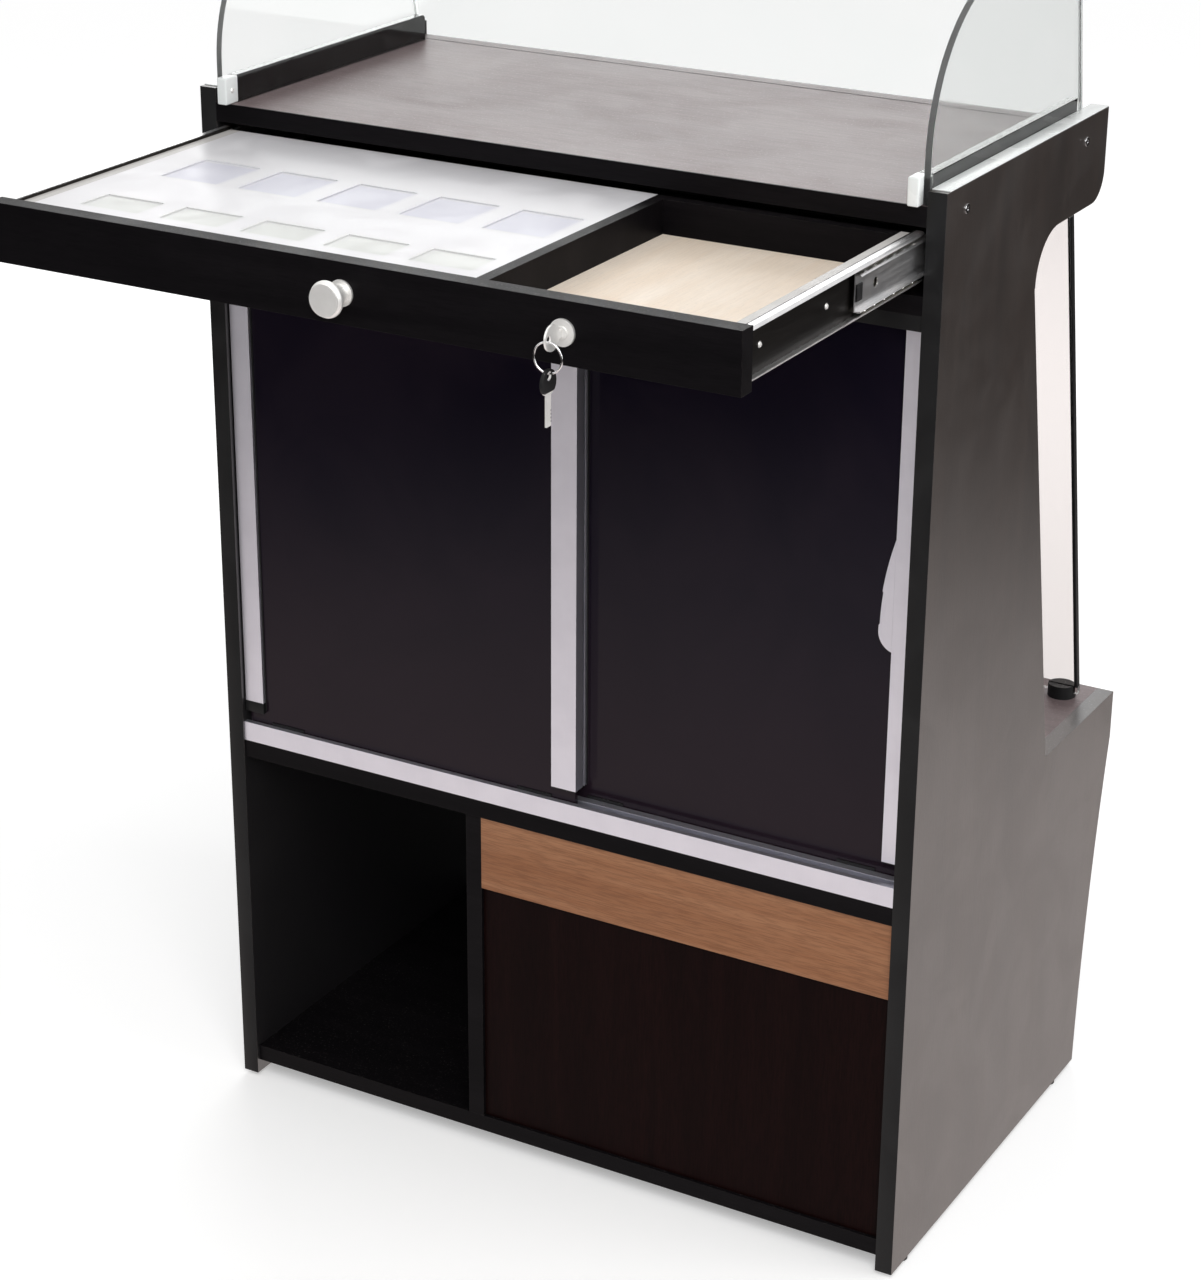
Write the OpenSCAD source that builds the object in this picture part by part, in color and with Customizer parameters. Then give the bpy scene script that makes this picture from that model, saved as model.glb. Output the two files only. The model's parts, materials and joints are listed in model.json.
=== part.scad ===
// Presentation lectern: shaped side panels, drawer on ball-bearing slides,
// sliding glass doors and a clear guard. Millimetres, +Z up.
// X runs to the speaker's right, Y runs from the speaker towards the audience.
// Modules are drawn with the front edges of the side panels at Y = 0.

/* [Cabinet] */
// Overall width over both side panels
cabinet_w = 784; // [700:1:900]
// Height of the side panels above the glides
panel_top = 1100; // [1060:1:1160]
// Thickness of the side panels and the main boards
board_t = 18; // [16:1:19]
// Thickness of the deck under the doors
deck_t = 19; // [12:1:19]
// Thickness of the slanted back board
back_t = 16; // [12:1:18]
// Depth of a side panel at the floor
foot_depth = 480; // [460:1:500]
// Depth of the ledge on the audience side
ledge_depth = 522; // [510:1:540]
// Height of the ledge above the floor
ledge_top = 438; // [420:1:460]
// Height of the ledge's front lip
lip_h = 52; // [40:1:60]
// Depth of a side panel where its slanted edge meets the ledge
waist_depth = 330; // [310:1:345]
// Depth of a side panel where the slanted edge would meet the nose
neck_depth = 205; // [200:1:215]
// Depth of the nose at the top
nose_depth = 378; // [376:1:395]
// Height of the nose's underside above the floor
nose_bottom = 1012; // [1008:1:1013]
// Radius of the hollow corner under the nose
neck_r = 50; // [30:1:60]
// Radius of the nose's lower front corner
nose_r = 28; // [10:1:30]
// How far the rear lower edge is hollowed
rear_hollow = 8; // [2:1:14]

/* [Worktop] */
// How far the worktop lies below the panels' top edges
worktop_drop = 14; // [8:1:20]
// Thickness of the worktop with its edging
worktop_t = 18; // [16:1:19]
// Thickness of the black edging strip
edging_t = 2; // [1:0.5:3]
// Thickness of the bent nose shell
shell_t = 4; // [3:0.5:5]

/* [Lower cabinet] */
// Height of the glides under the side panels
glide_h = 5; // [3:1:10]
// Diameter of a glide
glide_d = 16; // [12:1:16]
// Height of the base board's underside above the floor
base_z = 20; // [12:1:40]
// Underside of the deck above the floor
deck_z = 390; // [360:1:394]
// Left face of the partition, measured from the middle
partition_x = -102; // [-160:1:-60]
// Height of the wooden front rail
rail_h = 81; // [50:1:110]
// Thickness of the service panel and of the lower back board
panel_t = 16; // [12:1:18]
// How far the service panel lies behind the side panels' front edges
panel_recess = 8; // [4:1:20]

/* [Doors] */
// Height of the bottom track
track_h = 21; // [16:1:26]
// Depth of the bottom and top tracks
track_d = 38; // [36:1:44]
// Height of the top track
top_track_h = 14; // [12:1:18]
// Thickness of the door glass
glass_t = 5; // [4:0.5:6]
// Width of a door stile
stile_w = 22; // [18:1:28]
// Width of the stiles where the doors meet
meeting_w = 28; // [22:1:32]
// Thickness of a door stile from front to back
stile_d = 14; // [12:1:15]
// Middle of the meeting stiles, measured from the cabinet's middle
meeting_x = 12; // [-20:1:20]
// Gap beside and between the doors
door_gap = 1.5; // [1:0.5:3]
// Height of the finger pull
pull_h = 112; // [60:1:160]
// Height of the finger pull's middle above the floor
pull_z = 714; // [600:1:800]

/* [Drawer] */
// How far the drawer stands open
drawer_open = 340; // [300:1:342]
// Thickness of the drawer front
front_t = 18; // [16:1:19]
// Gap round the drawer front
front_gap = 2; // [1.5:0.5:4]
// Underside of the drawer front above the floor
front_z = 1012; // [1009:1:1013]
// Thickness of the drawer's sides, back and divider
drawer_t = 12; // [10:1:14]
// Height of the drawer's sides
drawer_side_h = 40; // [34:1:41]
// Outside length of the drawer box behind its front
drawer_len = 325; // [300:1:326]
// Thickness of the drawer's bottom
bottom_t = 4; // [3:0.5:5]
// Right face of the divider, measured from the middle
divider_x = 122; // [60:1:180]
// Thickness of the white board in the drawer
white_t = 4; // [3:0.5:6]
// Depth of the wells in the white board
well_depth = 1; // [0.5:0.1:2]
// Width of a well
well_w = 62; // [30:1:70]
// Distance between wells
well_pitch = 86; // [76:1:90]

/* [Slides] */
// Height of the drawer member
slide_h = 45.6; // [44:0.1:46]
// Thickness of the whole slide
slide_w = 12.7; // [12.6:0.1:13]
// Sheet thickness of the slide members
sheet_t = 1.2; // [1:0.1:1.3]
// Radius of the outer balls
ball_outer_r = 2.2; // [2:0.1:2.3]
// Radius of the inner balls
ball_inner_r = 1.9; // [1.7:0.1:2]
// Running gap between balls and races
race_gap = 0.3; // [0.25:0.05:0.35]
// Balls in one row of a cage
balls_per_row = 6; // [3:1:6]

/* [Knob, lock and keys] */
// Diameter of the knob
knob_d = 32; // [24:1:36]
// How far the knob stands in front of the drawer
knob_out = 27; // [20:1:34]
// Place of the lock, measured from the middle
lock_x = 212; // [150:1:260]
// Diameter of the lock barrel
lock_d = 18; // [14:1:20]
// Diameter of the turning lock core
core_d = 11; // [9:1:12]
// Running clearance of the core in the barrel
core_gap = 0.05; // [0.02:0.01:0.1]
// Inner radius of the key ring
ring_r = 12; // [9:0.5:15]
// Radius of the key ring's wire
ring_wire_r = 0.9; // [0.7:0.1:1.1]

/* [Clear guard] */
// Height of the guard above the side panels
guard_h = 165; // [120:1:220]
// Thickness of the clear sheets
clear_t = 6; // [4:1:8]
// Radius of the wings' upper front corners
wing_r = 140; // [60:1:150]
// Lean of the guard's back sheet towards the speaker
guard_lean = 10; // [0:1:12]
// Distance of the guard's back sheet from the rear of the nose
guard_inset = 26; // [23:1:45]
// Size of a clip block
clip = 20; // [14:1:26]

/* [Hidden] */
$fn = 64;

half_w = cabinet_w / 2;
guard_back_y = nose_depth - guard_inset;
// the slides are as long as the drawer box behind its front
slide_len = drawer_len;
in_x = half_w - board_t;
// the key: its bow stands upright in front of the lock, its hole outermost
core_out = 4;
bow_r = 11;
hole_r = 3.2;
hole_up = bow_r - hole_r - 2.4;
blade_len = 17;
shank = 8;
key_reach = core_out + 1 + shank + bow_r - 6;
hook_reach = key_reach + hole_up;
front_closed_y = 1;
// the whole object, drawer out, is centred on Y = 0
cab_y = (drawer_open - front_closed_y + max(knob_out, hook_reach + bow_r) - ledge_depth) / 2;
worktop_z = panel_top - worktop_drop;
worktop_under = worktop_z - worktop_t;
lip_z = ledge_top - lip_h;
deck_top = deck_z + deck_t;
track_top = deck_top + track_h;
rail_z = front_z - 6 - board_t;
// the slanted rear edge of the side panels
slant = atan2(waist_depth - neck_depth, nose_bottom - ledge_top);
function slant_y(z) = waist_depth - (z - ledge_top) * tan(slant);
shell_gap = 1;
back_inset = 3;
// drawer at rest
front_y = front_closed_y - drawer_open;
box_y = front_y + front_t;
slide_z = (front_z + worktop_under - front_gap) / 2 + 1.5;
slide_x = in_x - slide_w;
box_half = slide_x - 0.3;
box_z = slide_z - drawer_side_h / 2;
box_h = drawer_side_h;
lock_z = slide_z - 1;
// door planes
door_front_y = 5;
door_rear_y = door_front_y + stile_d + 3;
door_low = track_top + 14;
door_high = rail_z - top_track_h - 2;

module at_cab() { translate([0, cab_y, 0]) children(); }
module mirror_pair() {
  children();
  mirror([1, 0, 0]) children();
}
// an outline in Y (across) and Z (up), given a width along X from x0
module slab_x(x0, w) {
  translate([x0, 0, 0]) rotate([90, 0, 90]) linear_extrude(w) children();
}
module block(x0, x1, y0, y1, z0, z1) {
  translate([x0, y0, z0]) cube([x1 - x0, y1 - y0, z1 - z0]);
}

/* ---- side panels ---- */
// the open notch between ledge and nose, drawn as the space that is cut away
module notch_outline(grow = 0) {
  g = grow / cos(slant);
  arc_z = nose_bottom - neck_r;
  arc_y = slant_y(arc_z) - g + (neck_r + grow) / cos(slant);
  difference() {
    polygon([
      [slant_y(ledge_top) - g, ledge_top - grow],
      [slant_y(nose_bottom + grow) - g, nose_bottom + grow],
      [ledge_depth + 50, nose_bottom + grow],
      [ledge_depth + 50, ledge_top - grow]
    ]);
    difference() {
      translate([arc_y - neck_r - grow - 60, arc_z])
        square([neck_r + grow + 60, neck_r + grow + 10]);
      translate([arc_y, arc_z]) circle(neck_r + grow, $fn = 96);
    }
  }
}
module nose_corner(r, y, z) {
  difference() {
    translate([y - r, z - 1]) square([r + 60, r + 1]);
    translate([y - r, z + r]) circle(r, $fn = 96);
    translate([y - r - 1, z + r]) square([r + 62, 10]);
  }
}
rear_run = [ledge_depth - foot_depth, lip_z - glide_h];
rear_len = norm(rear_run);
rear_r = rear_len * rear_len / (8 * rear_hollow) + rear_hollow / 2;
module panel_outline() {
  mid = [foot_depth + rear_run[0] / 2, glide_h + rear_run[1] / 2];
  out = [rear_run[1], -rear_run[0]] / rear_len;
  centre = mid + out * (rear_r - rear_hollow);
  difference() {
    polygon([
      [0, glide_h], [foot_depth, glide_h], [ledge_depth, lip_z], [ledge_depth, ledge_top],
      [ledge_depth, nose_bottom], [nose_depth, nose_bottom], [nose_depth, panel_top],
      [0, panel_top]
    ]);
    notch_outline();
    nose_corner(nose_r, nose_depth, nose_bottom);
    translate(centre) circle(rear_r, $fn = 720);
  }
}
screw_spots = [[45, worktop_z - worktop_t / 2], [326, worktop_z - worktop_t / 2]];
screw_d = 7;
module side_panel() {
  difference() {
    slab_x(in_x, board_t) panel_outline();
    for (s = screw_spots)
      translate([in_x - 1, s[0], s[1]]) rotate([0, 90, 0]) cylinder(d = screw_d, h = board_t + 2);
  }
}
module side_panel_right() { color([0.20, 0.16, 0.15]) at_cab() side_panel(); }
module side_panel_left() {
  color([0.20, 0.16, 0.15]) at_cab() mirror([1, 0, 0]) side_panel();
}

/* ---- boards ---- */
module worktop() {
  color([0.62, 0.60, 0.59]) at_cab() difference() {
    block(-in_x, in_x, edging_t, nose_depth - shell_t - shell_gap, worktop_under, worktop_z);
    // slot that takes the lock's cam when the drawer is shut
    block(lock_x - cam_len + 4, lock_x + 9, front_closed_y + front_t,
      front_closed_y + front_t + 12, worktop_under - 1, worktop_under + 12);
    for (s = screw_spots) mirror_pair()
      translate([in_x - 40, s[0], s[1]]) rotate([0, 90, 0]) cylinder(d = screw_d - 2, h = 41);
  }
}
module worktop_edging() {
  color([0.05, 0.05, 0.05]) at_cab() block(-in_x, in_x, 0, edging_t, worktop_under, worktop_z);
}
module drawer_rail() {
  color([0.10, 0.08, 0.08]) at_cab()
    block(-in_x, in_x, 2, slant_y(rail_z + board_t) - back_inset - 2, rail_z, rail_z + board_t);
}
// bent skin that follows the hollow under the nose and its round front corner
module nose_line(grow) {
  difference() {
    translate([neck_depth - 20, rail_z + board_t - 24])
      square([nose_depth - neck_depth + 20 - grow, worktop_z - rail_z - board_t + 24]);
    notch_outline(grow);
    nose_corner(nose_r - grow, nose_depth - grow, nose_bottom + grow);
  }
}
module nose_shell() {
  color([0.20, 0.16, 0.15]) at_cab() slab_x(-in_x, 2 * in_x) difference() {
    nose_line(shell_gap);
    nose_line(shell_gap + shell_t);
    translate([0, 0]) square([slant_y(nose_bottom) + 2, worktop_z + 10]);
    translate([0, rail_z - 60]) square([nose_depth + 10, 60]);
  }
}
module back_board() {
  front = back_inset + back_t / cos(slant);
  color([0.14, 0.11, 0.11]) at_cab() slab_x(-in_x, 2 * in_x) polygon([
    [slant_y(deck_top) - front, deck_top], [slant_y(deck_top) - back_inset, deck_top],
    [slant_y(rail_z) - back_inset, rail_z], [slant_y(rail_z) - front, rail_z]
  ]);
}
module deck() {
  color([0.10, 0.08, 0.08]) at_cab() block(-in_x, in_x, 2, ledge_depth - board_t, deck_z, deck_top);
}
shelf_z = (deck_top + rail_z) / 2 - 20;
shelf_front = door_rear_y + stile_d + 10;
module shelf() {
  color([0.14, 0.11, 0.11]) at_cab()
    block(-in_x + 1, in_x - 1, shelf_front, slant_y(shelf_z + board_t) - back_inset - back_t - 4,
      shelf_z, shelf_z + board_t);
}
pin_d = 5;
pin_len = 9;
pin_front = 30;
pin_rear = 40;
pin_ys = [shelf_front + pin_front, slant_y(shelf_z) - back_inset - back_t - pin_rear];
module shelf_pins() {
  color([0.75, 0.75, 0.76]) at_cab() mirror_pair() for (y = pin_ys)
    translate([in_x - pin_len, y, shelf_z - pin_d / 2]) rotate([0, 90, 0])
      cylinder(d = pin_d, h = pin_len);
}
module ledge_board() {
  color([0.62, 0.60, 0.59]) at_cab()
    block(-in_x, in_x, slant_y(ledge_top - board_t) - back_inset, ledge_depth,
      ledge_top - board_t, ledge_top);
}
module ledge_fascia() {
  color([0.20, 0.16, 0.15]) at_cab()
    block(-in_x, in_x, ledge_depth - board_t, ledge_depth, lip_z, ledge_top - board_t);
}
module lower_back() {
  top_y = ledge_depth - board_t;
  foot_y = foot_depth - rear_hollow - 6;
  color([0.14, 0.11, 0.11]) at_cab() slab_x(-in_x, 2 * in_x) polygon([
    [foot_y - panel_t, base_z], [foot_y, base_z], [top_y, deck_z], [top_y - panel_t, deck_z]
  ]);
}
module base_board() {
  color([0.10, 0.08, 0.08]) at_cab()
    block(-in_x, in_x, 4, foot_depth - rear_hollow - 6 - panel_t, base_z, base_z + board_t);
}
module partition() {
  foot_y = foot_depth - rear_hollow - 6 - panel_t;
  color([0.12, 0.09, 0.09]) at_cab() slab_x(partition_x, board_t) polygon([
    [4, base_z + board_t], [foot_y, base_z + board_t],
    [foot_y, deck_z], [4, deck_z]
  ]);
}
rail_x = partition_x + board_t;
module wood_rail() {
  color([0.62, 0.36, 0.22]) at_cab()
    block(rail_x, in_x, panel_recess - 4, panel_recess - 4 + board_t, deck_z - rail_h, deck_z);
}
module service_panel() {
  color([0.20, 0.10, 0.09]) at_cab()
    block(rail_x, in_x, panel_recess, panel_recess + panel_t, base_z + board_t, deck_z - rail_h);
}
glide_front = 40;
glide_rear = 50;
module glides() {
  color([0.1, 0.1, 0.1]) at_cab() mirror_pair() for (y = [glide_front, foot_depth - glide_rear])
    translate([half_w - board_t / 2, y, 0]) cylinder(d = glide_d, h = glide_h);
}

/* ---- tracks ---- */
// two channels side by side, for the front and the rear door
channel_w = 8;
module bottom_track() {
  color([0.75, 0.75, 0.76]) at_cab() difference() {
    block(-in_x, in_x, 2, 2 + track_d, deck_top, track_top);
    for (y = [door_front_y, door_rear_y])
      translate([-in_x - 1, y + stile_d / 2 - channel_w / 2, deck_top + 3])
        cube([2 * in_x + 2, channel_w, track_h]);
  }
}
module top_track() {
  color([0.08, 0.08, 0.08]) at_cab() difference() {
    block(-in_x, in_x, 2, 2 + track_d, rail_z - top_track_h, rail_z);
    for (y = [door_front_y, door_rear_y])
      translate([-in_x - 1, y + stile_d / 2 - channel_w / 2, rail_z - top_track_h - 1])
        cube([2 * in_x + 2, channel_w, top_track_h - 1]);
  }
}
module worktop_screws() {
  color([0.85, 0.85, 0.86]) at_cab() mirror_pair() for (s = screw_spots)
    translate([half_w, s[0], s[1]]) rotate([0, -90, 0]) {
      difference() {
        translate([0, 0, -0.6]) cylinder(d = screw_d + 2, h = 0.6);
        translate([0, 0, -1.6]) cylinder(d = 3.4, h = 1.4, $fn = 6);
      }
      cylinder(d = screw_d - 0.1, h = board_t);
      cylinder(d = screw_d - 2.1, h = board_t + 34);
    }
}

/* ---- clear guard ---- */
guard_top = panel_top + guard_h;
function guard_y(z) = guard_back_y - (z - worktop_z) * tan(guard_lean);
module wing_outline() {
  r = min(wing_r, guard_h - 10);
  difference() {
    polygon([
      [4, worktop_z], [guard_y(worktop_z), worktop_z],
      [guard_y(guard_top), guard_top], [4, guard_top]
    ]);
    difference() {
      translate([3, guard_top - r]) square([r + 1, r + 1]);
      translate([4 + r, guard_top - r]) circle(r, $fn = 180);
    }
  }
}
module guard_wing() { slab_x(in_x - clear_t, clear_t) wing_outline(); }
module guard_wing_right() { color([0.85, 0.92, 0.90, 0.35]) at_cab() guard_wing(); }
module guard_wing_left() {
  color([0.85, 0.92, 0.90, 0.35]) at_cab() mirror([1, 0, 0]) guard_wing();
}
module guard_back() {
  t = clear_t / cos(guard_lean);
  color([0.85, 0.92, 0.90, 0.35]) at_cab() slab_x(-in_x, 2 * in_x) polygon([
    [guard_y(worktop_z), worktop_z], [guard_y(worktop_z) + t, worktop_z],
    [guard_y(guard_top) + t, guard_top], [guard_y(guard_top), guard_top]
  ]);
}
// a clip block in front and a clear bar behind it hold the foot of each wing
clip_w = 11;
clip_h = 26;
clip_over = 6;
clip_screw_d = 5;
module guard_clips() {
  y = -clip_over;
  color([0.93, 0.94, 0.93]) at_cab() mirror_pair() difference() {
    block(in_x - clear_t - clip_w, in_x - clear_t, y, y + clip, worktop_z, worktop_z + clip_h);
    translate([in_x - clear_t - clip_w - 1, y + clip / 2, worktop_z + clip_h / 2])
      rotate([0, 90, 0]) cylinder(d = clip_screw_d, h = clip_w / 2);
  }
}
bar_chamfer = 2;
module guard_bars() {
  x0 = in_x - clear_t - clip_w;
  color([0.85, 0.92, 0.90, 0.4]) at_cab() mirror_pair()
    translate([0, guard_back_y - clip_over, 0]) rotate([90, 0, 0])
      linear_extrude(guard_back_y - clip) polygon([
        [x0, worktop_z], [x0 + clip_w, worktop_z], [x0 + clip_w, worktop_z + clip_h],
        [x0 + bar_chamfer, worktop_z + clip_h], [x0, worktop_z + clip_h - bar_chamfer]
      ]);
}

/* ---- audience sheet ---- */
sheet_from_ledge = 36;
sheet_from_nose = 16;
sheet_lift = 6;
sheet_inset = 8;
sheet_foot_y = ledge_depth - sheet_from_ledge;
sheet_head_y = nose_depth - sheet_from_nose;
sheet_head_z = nose_bottom - sheet_lift;
sheet_foot_z = ledge_top + sheet_lift;
sheet_half = in_x - sheet_inset;
sheet_lean = atan2(sheet_foot_y - sheet_head_y, sheet_head_z - sheet_foot_z);
module on_sheet(x, up) {
  translate([x, sheet_foot_y, sheet_foot_z]) rotate([sheet_lean, 0, 0])
    translate([0, 0, up]) children();
}
module audience_sheet() {
  color([0.85, 0.92, 0.90, 0.35]) at_cab() on_sheet(-sheet_half, 0)
    translate([0, -clear_t / 2, 0])
      cube([2 * sheet_half, clear_t, (sheet_head_z - sheet_foot_z) / cos(sheet_lean)]);
}
foot_r = 15;
foot_h = 14;
foot_inset = 4;
sheet_fit = 0.1;
// the room that the sheet's end takes in a foot or a holder
module sheet_room(w) {
  on_sheet(sheet_half - w, 0) translate([0, -clear_t / 2 - sheet_fit, 0])
    cube([w, clear_t + 2 * sheet_fit, (sheet_head_z - sheet_foot_z) / cos(sheet_lean) + sheet_fit]);
}
module audience_feet() {
  color([0.08, 0.08, 0.08]) at_cab() mirror_pair() difference() {
    translate([sheet_half - foot_r - foot_inset, sheet_foot_y, ledge_top])
      cylinder(r = foot_r, h = foot_h);
    sheet_room(2 * (foot_r + foot_inset));
  }
}
holder_w = 30;
holder_inset = 20;
holder_h = 12;
holder_front = 16;
holder_rear = 6;
module audience_holders() {
  color([0.75, 0.75, 0.76]) at_cab() mirror_pair()
    difference() {
      block(sheet_half - holder_inset - holder_w, sheet_half - holder_inset,
        sheet_head_y - holder_front, sheet_head_y + holder_rear,
        sheet_head_z - holder_h, nose_bottom + shell_gap);
      sheet_room(2 * holder_inset + holder_w);
    }
}

/* ---- telescopic slides ---- */
// Section of a slide: u runs from the drawer's side to the cabinet's, v is up.
outer_u = 6;
outer_v = slide_h / 2 - sheet_t - race_gap - ball_outer_r;
inner_u = 9;
inner_v = outer_v - ball_outer_r - race_gap - sheet_t - race_gap - ball_inner_r;
race_o = ball_outer_r + race_gap;
race_i = ball_inner_r + race_gap;
module curl(u, v, r, from, to) {
  translate([u, v]) intersection() {
    difference() {
      circle(r + sheet_t, $fn = 48);
      circle(r, $fn = 48);
    }
    polygon([[0, 0], for (a = [from : (to - from) / 4 : to]) 12 * [cos(a), sin(a)]]);
  }
}
module both_ends() {
  children();
  mirror([0, 1]) children();
}
module section_drawer() {
  translate([0, -slide_h / 2]) square([sheet_t, slide_h]);
  both_ends() {
    translate([0, slide_h / 2 - sheet_t]) square([outer_u, sheet_t]);
    curl(outer_u, outer_v, race_o, 16, 90.5);
  }
}
mid_top = inner_v + race_i + sheet_t;
module section_middle() {
  translate([4.6, -mid_top]) square([sheet_t, 2 * mid_top]);
  both_ends() {
    translate([4.6, mid_top - sheet_t]) square([inner_u - 4.6, sheet_t]);
    curl(inner_u, inner_v, race_i, 40, 90.5);
  }
}
module section_fixed() {
  top = inner_v - race_i;
  difference() {
    translate([8.4, -top]) square([slide_w - 8.4, 2 * top]);
    translate([8, sheet_t - top]) square([slide_w - sheet_t - 8, 2 * (top - sheet_t)]);
  }
}
// a member along Y, on the right-hand side of the drawer
module member(y, len) {
  translate([slide_x, y + len, slide_z]) rotate([90, 0, 0]) linear_extrude(len) children();
}
middle_len = slide_len - 25;
middle_closed_y = 45;
cage_len = 110;
cage_outer_closed_y = 140;
cage_inner_closed_y = 130;
slide_closed_y = front_closed_y + front_t + 1;
module slide_hole(y, d) {
  translate([slide_x - 1, y, slide_z]) rotate([0, 90, 0]) cylinder(d = d, h = slide_w + 2);
}
module slide_drawer() {
  difference() {
    member(slide_closed_y - drawer_open, slide_len) section_drawer();
    for (y = [30, 150, 300]) slide_hole(slide_closed_y - drawer_open + y, 6);
  }
}
module slide_middle() {
  difference() {
    member(middle_closed_y - drawer_open / 2, middle_len) section_middle();
    for (y = [40, 150, 260]) slide_hole(middle_closed_y - drawer_open / 2 + y, 9);
  }
}
module slide_fixed() {
  difference() {
    member(slide_closed_y, slide_len) section_fixed();
    for (y = [30, 160, 290]) slide_hole(slide_closed_y + y, 5);
  }
}
module slide_drawer_right() { color([0.72, 0.72, 0.72]) at_cab() slide_drawer(); }
module slide_drawer_left() {
  color([0.72, 0.72, 0.72]) at_cab() mirror([1, 0, 0]) slide_drawer();
}
module slide_middle_right() { color([0.66, 0.66, 0.66]) at_cab() slide_middle(); }
module slide_middle_left() {
  color([0.66, 0.66, 0.66]) at_cab() mirror([1, 0, 0]) slide_middle();
}
module slide_fixed_right() { color([0.72, 0.72, 0.72]) at_cab() slide_fixed(); }
module slide_fixed_left() {
  color([0.72, 0.72, 0.72]) at_cab() mirror([1, 0, 0]) slide_fixed();
}
// a cage is a folded strip whose two flanges hold the balls in drilled pockets
ball_pitch = (cage_len - 14) / (balls_per_row - 1);
function ball_ys(y0) = [for (i = [0 : balls_per_row - 1]) y0 + 7 + i * ball_pitch];
cage_t = 0.8;
module cage(y0, web_u, u, v, r, tip) {
  difference() {
    member(y0, cage_len) {
      translate([web_u, -v - cage_t / 2]) square([0.6, 2 * v + cage_t]);
      both_ends() translate([web_u, v - cage_t / 2]) square([tip - web_u, cage_t]);
    }
    for (y = ball_ys(y0))
      translate([slide_x + u, y, slide_z - v - 2]) cylinder(r = r + 0.1, h = 2 * v + 4);
  }
}
module balls(y0, u, v, r) {
  for (y = ball_ys(y0), s = [-1, 1])
    translate([slide_x + u, y, slide_z + s * v]) sphere(r = r, $fn = 32);
}
outer_cage_y = cage_outer_closed_y - 0.75 * drawer_open;
inner_cage_y = cage_inner_closed_y - 0.25 * drawer_open;
module cages_outer() {
  color([0.55, 0.50, 0.40]) at_cab() mirror_pair()
    cage(outer_cage_y, 2.6, outer_u, outer_v, ball_outer_r, outer_u + ball_outer_r + 0.6);
}
module balls_outer() {
  color([0.85, 0.85, 0.86]) at_cab() mirror_pair()
    balls(outer_cage_y, outer_u, outer_v, ball_outer_r);
}
module cages_inner() {
  color([0.55, 0.50, 0.40]) at_cab() mirror_pair()
    cage(inner_cage_y, 6.2, inner_u, inner_v, ball_inner_r, inner_u + ball_inner_r + 0.4);
}
module balls_inner() {
  color([0.85, 0.85, 0.86]) at_cab() mirror_pair()
    balls(inner_cage_y, inner_u, inner_v, ball_inner_r);
}

/* ---- drawer ---- */
lock_hole_d = lock_d + 0.2;
module drawer_front() {
  color([0.04, 0.04, 0.04]) at_cab() difference() {
    block(-in_x + front_gap, in_x - front_gap, front_y, box_y, front_z,
      worktop_under - front_gap);
    translate([lock_x, front_y - 1, lock_z]) rotate([-90, 0, 0])
      cylinder(d = lock_hole_d, h = front_t + 2);
    translate([0, front_y - 1, lock_z]) rotate([-90, 0, 0]) cylinder(d = 4.2, h = front_t + 2);
  }
}
groove = 5;
module drawer_side() {
  difference() {
    block(box_half - drawer_t, box_half, box_y, box_y + drawer_len, box_z, box_z + box_h);
    block(box_half - drawer_t - 1, box_half - drawer_t + groove, box_y - 1,
      box_y + drawer_len + 1, box_z + 4, box_z + 4 + bottom_t);
  }
}
module drawer_side_right() { color([0.80, 0.76, 0.70]) at_cab() drawer_side(); }
module drawer_side_left() {
  color([0.80, 0.76, 0.70]) at_cab() mirror([1, 0, 0]) drawer_side();
}
in_half = box_half - drawer_t;
module drawer_bottom() {
  color([0.90, 0.82, 0.70]) at_cab()
    block(-in_half - groove + 0.2, in_half + groove - 0.2, box_y, box_y + drawer_len - 2,
      box_z + 4, box_z + 4 + bottom_t);
}
floor_z = box_z + 4 + bottom_t;
module drawer_back() {
  y = box_y + drawer_len - drawer_t;
  color([0.06, 0.06, 0.06]) at_cab() difference() {
    block(-in_half, in_half, y, box_y + drawer_len, floor_z, box_z + box_h);
    // rebate under the white board's rear edge
    block(-in_half - 1, board_x1, y - 1, box_y + drawer_len + 1, box_z + box_h - white_t,
      box_z + box_h + 1);
  }
}
module drawer_divider() {
  color([0.06, 0.06, 0.06]) at_cab()
    block(divider_x - drawer_t, divider_x, box_y, box_y + drawer_len - drawer_t, floor_z,
      box_z + box_h);
}
board_x1 = divider_x - drawer_t;
board_y1 = box_y + drawer_len;
module drawer_board() {
  cx = (board_x1 - in_half) / 2;
  rows = [[box_y + 32, 40], [box_y + 148, 70]];
  color([0.93, 0.93, 0.94]) at_cab() {
    difference() {
      block(-in_half, board_x1, box_y, board_y1, box_z + box_h - white_t, box_z + box_h);
      for (i = [-2 : 2], r = rows)
        translate([cx + 12 + i * well_pitch - well_w / 2, r[0], box_z + box_h - well_depth])
          cube([well_w, r[1], well_depth + 1]);
    }
    // battens that carry the board on the drawer's bottom
    for (x = [-in_half, board_x1 - 12])
      block(x, x + 12, box_y, board_y1 - drawer_t, floor_z, box_z + box_h - white_t);
  }
}
module knob() {
  color([0.80, 0.80, 0.80]) at_cab() translate([0, front_y, lock_z]) rotate([90, 0, 0]) {
    rotate_extrude($fn = 96) difference() {
      union() {
        square([knob_d / 4, knob_out]);
        square([knob_d * 0.36, 2]);
        translate([0, knob_out - 9]) square([knob_d / 2 - 2, 9]);
        translate([knob_d / 2 - 4, knob_out - 5]) circle(4, $fn = 48);
      }
      translate([-50, -50]) square([50, 200]);
      translate([-1, knob_out]) square([60, 20]);
    }
    translate([0, 0, -front_t - 2]) cylinder(d = 4, h = front_t + 2);
    translate([0, 0, -front_t - 3]) cylinder(d = 9, h = 3);
  }
}

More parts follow.
